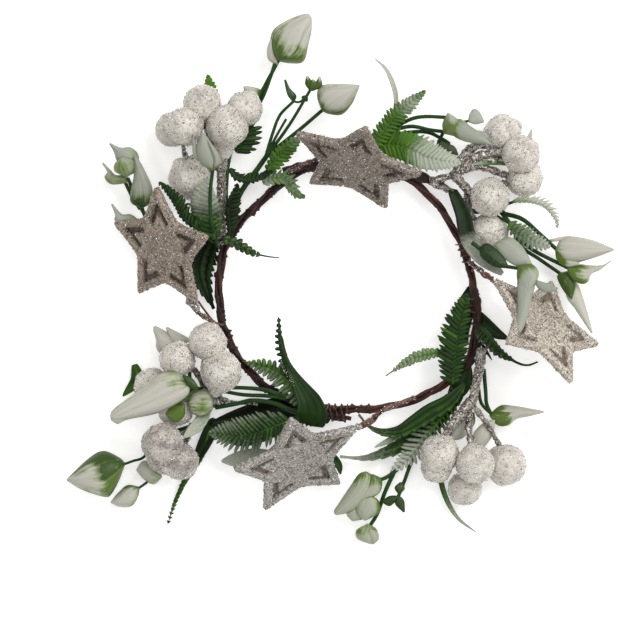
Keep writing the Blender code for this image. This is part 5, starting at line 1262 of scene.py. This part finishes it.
            (0.85, [(57.6, -36, 8.5), (58.4, -45, 7), (58.8, -50, 6.5), (60.8, -54.6, 6.5)]),
            (0.75, [(55.5, -44, 8), (56.8, -50, 7), (61, -54.4, 6.6)])],
        "petals": [
            ((60, -54.6), [(64.4, -51), (70, -51.2), (76, -52.2)], [(63.4, -58.4), (67.6, -58.2),
             (70.6, -55.8), (76, -54.6)], (81.6, -53.2), (6.8, 9), 2.0, True, 0.3, 0.35, 0.15),
            ((60.2, -54.8), [(64, -53.4)], [(63.4, -58.2), (67.4, -58)], (69.4, -53.6), (8, 9.4), 1.6,
             False, 0.9, 0.5, 0.1),
            ((53.5, -53), [(48.6, -54.6), (44, -61)], [(53.6, -58), (49, -63.4)], (43.5, -64.5), (9, 9.5),
             1.4, False, 0.25, 0.5, 0.4),
            ((52.6, -68.5), [(53.4, -62.5), (57.4, -58)], [(57, -67.4), (61, -62)], (61.8, -56.5), (9, 9.6),
             1.4, False, 0.05, 0.15, 0.1)],
    },
    "buds_south": {
        "skin": "sage",
        "stems": [
            (0.9, [(36, -57, 5), (30, -66, 5.5), (21.4, -78, 7.4)]),
            (0.85, [(23, -76.4, 7), (17.4, -80, 8.6), (12, -80, 9.4)]),
            (0.9, [(21.4, -78, 7.4), (18, -85.5, 7.4), (15, -94, 6), (12, -99, 5)]),
            (0.85, [(33, -63, 5), (28.4, -74, 6.6), (25.8, -81, 7.8), (23.2, -87.6, 8.2)])],
        "petals": [
            ((10.4, -77.2), [(7.6, -78.4), (4.2, -83.4), (0.6, -88.8), (-2.1, -93)], [(13.6, -79.4),
             (13.6, -84), (10.4, -89.4), (5, -92.8)], (-1.4, -94.4), (10, 9.4), 2.8, True, 0.3, (0.6, 0.9),
             0.05),
            ((8, -86), [(3.2, -90), (3, -94.4)], [(9.8, -91), (9.6, -95.6)], (5, -96.8), (9, 8.6), 1.6,
             True, 0.2, 0.45, -0.2),
            ((12, -86.8), [(7.6, -88.6), (6.9, -93)], [(15.2, -88.8), (15.2, -93.4)], (10, -96.6),
             (11.4, 10.4), 2.2, True, 0.15, (0.4, 1.0), 0.1),
            ((13, -78.2), [(10.6, -83.6)], [(16.4, -80.4), (15.8, -85), (12, -87.6)], (6, -89.4),
             (11.4, 11.2), 1.2, False, 0.35, (0.2, 0.9), 0.3),
            ((11.2, -98.2), [(7, -100.8), (7.2, -104)], [(14.4, -100.4), (15, -103.8), (13.3, -106.2)],
             (10.6, -105.6), (5, 4.6), 3.2, True, 0.6, 0.5, -0.3),
            ((11.6, -100), [(11, -103)], [(14.8, -101.6), (15.2, -104.4)], (13.4, -106.2), (6.6, 5.4), 2.0,
             False, 0.1, 0.3, 0.1),
            ((23.6, -87.2), [(20, -87.2)], [(20, -90.6)], (16.9, -89.2), (8.5, 8.6), 0.9, False, 1.3, 0.6,
             1.0),
            ((23.4, -86.8), [(25.4, -89)], [(22.4, -90)], (25.7, -93.4), (8.4, 8.2), 0.8, False, 1.3, 0.6,
             1.0),
            ((24.4, -81.4), [(22.2, -83.6)], [(25.6, -84)], (23.6, -86), (8.8, 8.4), 0.7, True, 1.3, 0.6,
             0.8)],
    },
    "buds_south_west": {
        "stems": [
            (1.1, [(-55, -58, 2.3), (-62, -60, 2.5), (-72, -63.5, 3.5), (-76, -68, 5)]),
            (0.6, [(-75, -67, 4.6), (-79, -71.6, 7), (-82.6, -72.8, 8.4), (-87, -74.4, 9)]),
            (0.6, [(-71, -63, 3.4), (-73.5, -73, 3.6), (-76, -80, 4), (-81.4, -84.4, 4.5)]),
            (0.85, [(-71, -64, 3.4), (-72.5, -73, 3.5), (-72.8, -79, 4)])],
        "petals": [
            ((-86.2, -74), [(-88.4, -71.8), (-94.6, -69.2), (-99.8, -71.6), (-105.8, -77)], [(-88.6, -80.2),
             (-91.6, -85.7), (-94.2, -86.9), (-102.7, -84.3)], (-109.2, -80.5), (9, 10), 6.0, True, 0.6,
             (1.3, 0.8), 0.6),
            ((-86.6, -74.4), [(-92, -76.4), (-100, -77.6)], [(-88.9, -80.2), (-91.8, -85.4), (-94.2, -86.6),
             (-102.7, -84.1)], (-109, -80.4), (10.4, 10.6), 4.8, False, 0.52, (0.9, 0.8), 0.1),
            ((-80.6, -83.6), [(-85.2, -83), (-89, -86.2)], [(-81.4, -87.4), (-83.8, -90.8), (-88.4, -91)],
             (-91.8, -89.6), (4.8, 4.8), 2.6, True, 0.18, (0.95, 0.5), 0.3),
            ((-71.6, -79.5), [(-73, -74.8), (-78.8, -73.2)], [(-74.7, -82), (-78.6, -80)], (-81.6, -76.6),
             (4.4, 4.6), 2.6, True, 0.6, 0.5, -0.5)],
    },
    "bud_south_west_long": {
        "stems": [
            (0.85, [(-20, -48.2, 12), (-28, -45, 12), (-35, -43.8, 11), (-44, -43.5, 9.8), (-50, -44, 10),
             (-54, -44, 12), (-58, -43.8, 17), (-64, -45, 21)]),
            (0.85, [(-58, -43.8, 17), (-60, -40, 11), (-60.5, -35, 6), (-63, -29, 5)]),
            (0.85, [(-21, -48, 12), (-29, -46.8, 11.3), (-39, -46.3, 10), (-50, -44.3, 10)]),
            (1.0, [(-12, -54.4, 12), (-20, -52.4, 12), (-26, -49.8, 11.5), (-34.8, -48.6, 10),
             (-41.6, -50, 8), (-50, -51.6, 7)])],
        "petals": [
            ((-60, -42.4), [(-65, -37.4), (-71.6, -38.2), (-79.2, -44.2), (-86.8, -49.6), (-91, -53.2)],
             [(-60.8, -46.4), (-66.5, -50.2), (-73.3, -53.4), (-85, -55.8), (-88.6, -57.6)], (-91.2, -56),
             (20, 22), 3.0, True, 0.3, (0.5, 0.1), -0.35),
            ((-60, -42.6), [(-67, -43.6), (-78, -48.6)], [(-60.9, -46.2), (-66.4, -50), (-73.3, -53),
             (-85, -55.4)], (-90.8, -55.8), (21, 22.6), 2.8, False, 0.04, 0.1, 0.0),
            ((-56.6, -43.4), [(-59, -40)], [(-60, -42.8)], (-62.6, -38.4), (22.5, 23), 0.8, False, 1.3, 0.6,
             0.7),
            ((-56.6, -43.6), [(-60.4, -44.8)], [(-59.4, -46.4), (-62, -48.8)], (-66, -49.4), (20, 19.6),
             0.8, False, 1.3, 0.6, 0.8),
            ((-62, -50), [(-66.4, -50)], [(-62.4, -54.6), (-66, -57)], (-69.6, -54), (17, 16.4), 1.4, False,
             1.3, 0.6, 0.1),
            ((-51, -49), [(-52.4, -45), (-56.4, -43.8), (-60, -46.4)], [(-51.4, -52.4), (-54.8, -54.8),
             (-59, -53.4)], (-60.6, -50), (13.4, 13.4), 3.2, False, 1.3, 0.9, -0.42),
            ((-62, -30), [(-66, -26.4), (-67.4, -23), (-73.9, -19.2)], [(-68, -32), (-73, -28.4),
             (-73.6, -24)], (-74.8, -20.6), (5, 6), 2.8, True, 0.3, 0.4, -0.5),
            ((-60, -24.4), [(-64.4, -22)], [(-66.4, -27.4)], (-69.6, -19.4), (6, 6.6), 1.4, True, 0.3, 0.3,
             -0.5)],
    },
}


def petalShells(start, left, right, tip, level, crown, isPod, foot, edge, deep):
    # p(s, v) lies between the two edges at share s of each, raised by crown (1 - v^2)^0.8
    # sin(pi(0.06 + 0.88s))^0.7 over a line from the foot's height to the tip's; a pod has a second sheet
    # crowned downwards
    rows, columns = petalForm["rows"], petalForm["columns"]
    a, b = (smoothRoute([(*place, 0) for place in (start, *side, tip)], rows) for side in (left, right))
    middle, half = (a + b) / 2, (b - a) / 2
    heading = unit(half)
    heading[0], heading[-1] = heading[1], heading[-2]
    half = half + petalForm["least"] * heading
    s = np.linspace(0, 1, rows)[:, None]
    v = np.linspace(-1, 1, columns)[None, :]
    flat = middle[:, None] + half[:, None] * v[..., None]
    dome = crown * (1 - v**2) ** 0.8 * np.sin(math.pi * (0.06 + 0.88 * s)) ** 0.7
    base = level[0] + (level[1] - level[0]) * s
    footGreen = ease(foot + petalForm["footSoft"], foot - petalForm["footSoft"], s + 0.06 * np.cos(3 * v))
    leftGreen, rightGreen = edge if isinstance(edge, tuple) else (edge, edge)
    edgeGreen = np.where(v < 0, leftGreen, rightGreen) * ease(0.3, 0.95, np.abs(v))
    edgeGreen = edgeGreen * (1 - petalForm["edgeFade"] * s)
    green = np.maximum(footGreen, edgeGreen) * (1 + min(deep, 0.0))
    marks = {"green": green[None], "deep": max(deep, 0.0) + 0 * s * v[None],
             "across": v + 0 * s[None], "reach": s + 0 * v[None]}
    shells = []
    for side in ((1.0, petalForm["under"]) if isPod else (1.0,)):
        grid = flat.copy()
        grid[..., 2] = np.maximum(base + side * dome, petalForm["lowest"])
        shells.append(sheets(grid[None], petalForm["thick"], **marks))
    return shells


# The stems of the buds thin evenly to taper of their radius.
stalkForm = {"points": 40, "sides": 8, "taper": 0.85, "shade": 0.35}
# Short stalks that carry fronds and leaves from the ring or its bundles to where their blades begin: radius,
# then the route.
rootForm = {"points": 18, "sides": 7, "shade": 0.3}
rootStalks = [
    (0.8, [(6, 49.4, 11.5), (9.5, 51.5, 14), (13.5, 54, 17.2)]),    # n_right
    (0.7, [(6, 49.4, 11.5), (9.5, 50.5, 16), (12.8, 52, 21)]),    # n_tall
    (0.7, [(-31.5, 42, 10.5), (-30.5, 42.2, 15), (-28.4, 43.6, 18)]),    # n_left
    (0.5, [(19, 59.4, 12.5), (20, 61.5, 14.5), (21, 64.4, 16)]),    # n_white
    (0.6, [(-44.8, 46, 7.2), (-46.6, 55, 4.6), (-49.4, 63, 3.8), (-51, 67.5, 3.8)]),    # nw_outer
    (0.8, [(-46, 15, 9.5), (-45, 16.5, 13.5), (-44, 20, 16)]),    # nw_ring
    (0.7, [(-48, 14.5, 9.5), (-47.6, 15.6, 13.5), (-46, 16.2, 15.4)]),    # w_hole
    (0.8, [(-49, 14.5, 9.5), (-51.5, 15.5, 16), (-57.5, 20.4, 22.8)]),    # w_dark
    (0.8, [(-48.5, 13, 9.5), (-49, 14, 15), (-50, 17.5, 19)]),    # w_frosted
    (0.8, [(-9, -53, 9.5), (-10.4, -52.6, 13), (-13, -50, 15.6)]),    # s_hole
    (1.0, [(-8, -53.5, 9), (-10, -55.5, 12.5), (-12.2, -57, 16.2)]),    # s_blade
    (0.8, [(-14, -53.5, 9.5), (-17, -55, 13), (-22, -57.2, 15)]),    # sw_broad
    (0.6, [(-14, -56, 4), (-22, -63, 5), (-30, -70.4, 6)]),    # s_grey
    (0.6, [(-68, -50, 4), (-74, -46, 2), (-78, -42, 1.6), (-81.6, -38.6, 1.9)]),    # sw_green
    (0.8, [(48, -38, 9.5), (46, -40.6, 12), (45.2, -39.6, 14)]),    # e_ring
    (0.7, [(50, -28, 9.5), (46, -28.4, 11.5), (41.2, -29, 12)]),    # e_hole
    (0.8, [(43.6, 35.6, 10), (44.6, 34.6, 13), (46, 32.4, 14.7)]),    # ne_dark
    (0.6, [(56, 27.5, 4), (64, 29, 10), (70, 31, 15)]),    # ne_tip
    (0.6, [(56, 27.3, 4), (63, 25, 10), (68.5, 21.6, 14.5)]),    # ne_low
]

# Frost grains caught along the left edge of the broad south blade.
grainLook = {"flakes": 44, "flakeSize": 0.7, "flakeTilt": 0.6, "radius": 0.5, "points": 16, "sides": 6,
             "route": [(-24, -33, 16.9), (-21.4, -37.6, 17.6), (-18, -42.6, 18)]}

# Everything is made and put in its place here.
vineBark = vineFinish(vineLook)
wire = wireFinish(wireLook)
twigBed = bedFinish("glittered twig paper", rodLook, "#b5afa8")
starFlake = flakeFinish("champagne glitter film", starFlakeLook)
silverFlake = flakeFinish("silvery glitter film", silverFlakeLook)
paintedLitFlake = flakeFinish("pale glitter film painted as lit", paintedLitFlakeLook)
starFilm = {"top": starFlake, "left": starFlake, "bottom": silverFlake, "right": paintedLitFlake}
berryFlake = flakeFinish("clear frost film", berryFlakeLook)
twigFlake = flakeFinish("silver glitter film", twigFlakeLook)
berrySkin = berryFinish("glue-frosted foam berry", berryLook)
speckledSkin = berryFinish("speckled frosted berry", speckledLook)
greyerBerrySkin = berryFinish("greyer frosted berry", greyerBerryLook)
foliage = foliageFinish("moulded fern green", fernLook)
stemGreen = foliageFinish("glossy stem green", stemLook)
petalSkins = {"plain": petalFinish("moulded tulip petal", petalLook),
              "thin": petalFinish("thin moulded petal", thinPetalLook),
              "sage": petalFinish("sage moulded petal in painted shade", shadedSagePetalLook)}

addPiece("vine_ring", vineRing(ringLook), vineBark,
         ["vine_strand_1", "vine_strand_2", "vine_strand_3"])
addPiece("vine_stubs", vineStubs(stubForm), vineBark)
for place, (start, turns) in wrapLook["coils"].items():
    addPiece(f"wire_coil_{place}", [wireCoil(wrapLook, start, turns)], wire,
             [f"binding_wire_{place}"])
addPiece("wire_bundle_wraps", [bundleCoil(*wrap) for wrap in bundleWraps], wire)
print("ring: vine strands, stubs and wire wraps")

for n, (place, film) in enumerate(starFilm.items()):
    star = starLook[place]
    step = seeds["starStep"] * n
    plate = starPlate(star, seeds["plate"] + step)
    addPiece(f"star_plate_{place}", [plate], bedFinish(f"glitter bed with painted light {place}", bedLook, star["tintAndPaintedLight"]),
             [f"star_{place}"])
    # each groove takes its star's darker groove colour: painted shade down the slot
    addPiece(f"star_groove_{place}", [starPlate(star, seeds["ledge"] + step, web=True)],
             bedFinish(f"glitter groove in painted shade {place}", bedLook, star["groove"]))
    addPiece(f"star_flakes_{place}",
             scatterFlakes([plate], starLook, starLook["flakes"], seeds["starFlakes"] + n),
             film)
    nuggets = [berryShell(nugget, seeds["nuggets"] + step + i)
               for i, nugget in enumerate(nuggetLook.get(place, []))]
    if nuggets:
        addPiece(f"star_nuggets_{place}", nuggets, twigBed)
        addPiece(f"star_nugget_glitter_{place}",
                 scatterFlakes(nuggets, nuggetLook, nuggetLook["flakes"], seeds["nuggetFlakes"] + n),
                 berryFlake)
    route = smoothRoute(starStemLook[place], starStemLook["points"])
    lump = starStemLook["lump"] * waves(route, starStemLook["lumpSize"], seeds["starWire"] + n)
    stems = [tube(route, starStemLook["radius"], starStemLook["sides"], relief=lump[:, None])]
    glitter = scatterFlakes(stems, starStemLook, starStemLook["flakes"], seeds["starWireFlakes"] + n)
    if place in thinWireLook:
        thin = smoothRoute(thinWireLook[place], thinWireLook["points"])
        stems.append(tube(thin, thinWireLook["radius"], thinWireLook["sides"]))
    addPiece(f"star_wire_{place}", stems, wire, [f"star_stem_{place}"])
    addPiece(f"star_wire_glitter_{place}", glitter, twigFlake)
print("stars: four glittered plates on their wires")

for n, (place, spray) in enumerate(sprays.items()):
    step = seeds["sprayStep"] * n
    berries = [berryShell(berry, seeds["berries"] + step + i) for i, berry in enumerate(spray["berries"])]
    twigs = [twigShell(*twig, seeds["twigs"] + step + i) for i, twig in enumerate(spray["twigs"])]
    skin = speckledSkin if place.endswith("west") else berrySkin
    # the last berries of a spray, as many as it names, take the greyer skin
    clean = len(berries) - spray.get("greyedCount", 0)
    addPiece(f"berries_{place}", berries[:clean], skin, [f"berry_spray_{place}"])
    if clean < len(berries):
        addPiece(f"berries_greyer_{place}", berries[clean:], greyerBerrySkin)
    addPiece(f"twigs_{place}", twigs, twigBed)
    count = berryForm["flakes"] * len(berries)
    addPiece(f"berry_glitter_{place}", scatterFlakes(berries, berryForm, count, seeds["berryFlakes"] + n),
             berryFlake)
    count = int(twigForm["flakesPerArea"] * shellArea(twigs))
    addPiece(f"twig_glitter_{place}", scatterFlakes(twigs, twigForm, count, seeds["twigFlakes"] + n),
             twigFlake)
print("berries: four sprays on glittered twigs")

for n, (name, own) in enumerate(fronds.items()):
    shells = frondShells({**frondForm, **own}, seeds["fronds"] + n)
    addPiece(name.replace("frond_", "fern_"), shells, foliage, [name])
for name, own in straps.items():
    shell = leafShell({**leafForm, **own})
    addPiece(name.replace("frond_", "strap_"), [shell], foliage, [name])
for name, own in leaves.items():
    shell = leafShell({**leafForm, **own})
    addPiece(name.replace("leaf_", "long_leaf_"), [shell], foliage,
             [name] if name.startswith("leaf_") else [])
roots = [tube(smoothRoute(knots, rootForm["points"]), radius, rootForm["sides"],
              shade=rootForm["shade"], frost=0.0) for radius, knots in rootStalks]
addPiece("leaf_stalks", roots, stemGreen)
route = smoothRoute(grainLook["route"], grainLook["points"])
grainLine = [tube(route, grainLook["radius"], grainLook["sides"])]
addPiece("blade_grains_south", scatterFlakes(grainLine, grainLook, grainLook["flakes"], seeds["grains"]),
         berryFlake)
print("foliage: fern fronds and plain leaves")

for name, spray in budSprays.items():
    petals = [shell for petal in spray["petals"] for shell in petalShells(*petal)]
    thinning = np.linspace(1.0, stalkForm["taper"], stalkForm["points"])
    stalks = [tube(smoothRoute(knots, stalkForm["points"]), radius * thinning, stalkForm["sides"],
                   shade=stalkForm["shade"], frost=0.0) for radius, knots in spray["stems"]]
    addPiece(name.replace("bud", "tulip", 1), petals, petalSkins[spray.get("skin", "plain")],
             [name])
    addPiece(name.replace("bud", "stalk", 1), stalks, stemGreen)
print("buds: tulip buds, small flowers and their stalks")

# Floor, light and camera.
studio = {"floor": 4.0, "floorDrop": -0.0002, "floorColour": "#e4e3e1", "floorGlow": 0.42,
          "worldColour": "#ffffff", "world": 0.4, "aim": (0, 0, 0.02),
          "keyPlace": (0.85, 0.68, 1.28), "keySize": 1.1, "keyPower": 20.0,
          "glintPlaces": [(-1.0, 0.3, 1.3), (0.3, -1.1, 1.2), (-0.5, 1.1, 1.1), (-0.6, -0.8, 1.3),
                          (0.1, 0.5, 1.9), (-0.3, -0.1, 2.0), (1.0, -0.4, 1.0)],
          "glintSize": 0.3, "glintPower": 2.3}
# The photo's view in mm: straight down on its middle, this much across at this height over the table.
photoView = {"middle": (-7.8, -17.0), "height": 2400.0, "across": 256.0, "at": 12.0, "sensor": 36.0,
             "clip": 20.0}


def addItem(name, data):
    item = bpy.data.objects.new(name, data)
    bpy.context.scene.collection.objects.link(item)
    return item


def addLamp(name, place, size, power):
    # a square lamp aimed at the middle of the wreath
    lamp = bpy.data.lights.new(name, "AREA")
    lamp.size = size
    lamp.energy = power
    item = addItem(name, lamp)
    item.location = place
    item.rotation_euler = (Vector(place) - Vector(studio["aim"])).to_track_quat("Z", "Y").to_euler()
    item.visible_camera = False


def addFloor():
    # a pale square just under the table's height, with a glow that keeps it white
    half = studio["floor"] / 2
    mesh = bpy.data.meshes.new("floor")
    corners = [(-half, -half, 0), (half, -half, 0), (half, half, 0), (-half, half, 0)]
    mesh.from_pydata(corners, [], [(0, 1, 2, 3)])
    m = endFinish(startFinish("plain pale floor"), {"roughness": 0.9, "specular": 0.1},
                  {"Base Color": studio["floorColour"], "Emission Color": studio["worldColour"],
                   "Emission Strength": studio["floorGlow"]})
    mesh.materials.append(m)
    floor = addItem("floor", mesh)
    floor.location.z = studio["floorDrop"]
    floor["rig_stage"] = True


addFloor()
addLamp("key", studio["keyPlace"], studio["keySize"], studio["keyPower"])
for n, place in enumerate(studio["glintPlaces"]):
    addLamp(f"glint_{n}", place, studio["glintSize"], studio["glintPower"])
world = bpy.data.worlds.new("pale studio")
world.use_nodes = True
sky = world.node_tree.nodes["Background"].inputs
sky["Color"].default_value = hexColour(studio["worldColour"])
sky["Strength"].default_value = studio["world"]
bpy.context.scene.world = world
bpy.context.scene.view_settings.view_transform = "Standard"

camera = addItem("camera", bpy.data.cameras.new("camera"))
camera.location = [value * mm for value in (*photoView["middle"], photoView["height"])]
camera.data.sensor_width = photoView["sensor"]
camera.data.lens = photoView["sensor"] * (photoView["height"] - photoView["at"]) / photoView["across"]
camera.data.clip_end = photoView["clip"]
bpy.context.scene.camera = camera
print("studio: floor, lamps and camera")

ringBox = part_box("vine_strand_1")
print("ring solid in mm", [[round(v / mm, 1) for v in corner] for corner in ringBox])
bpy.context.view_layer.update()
total = sum(sum(len(p.vertices) - 2 for p in o.data.polygons) for o in bpy.context.scene.objects
            if o.type == "MESH" and not o.hide_render and not o.get("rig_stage"))
print("triangles", total)
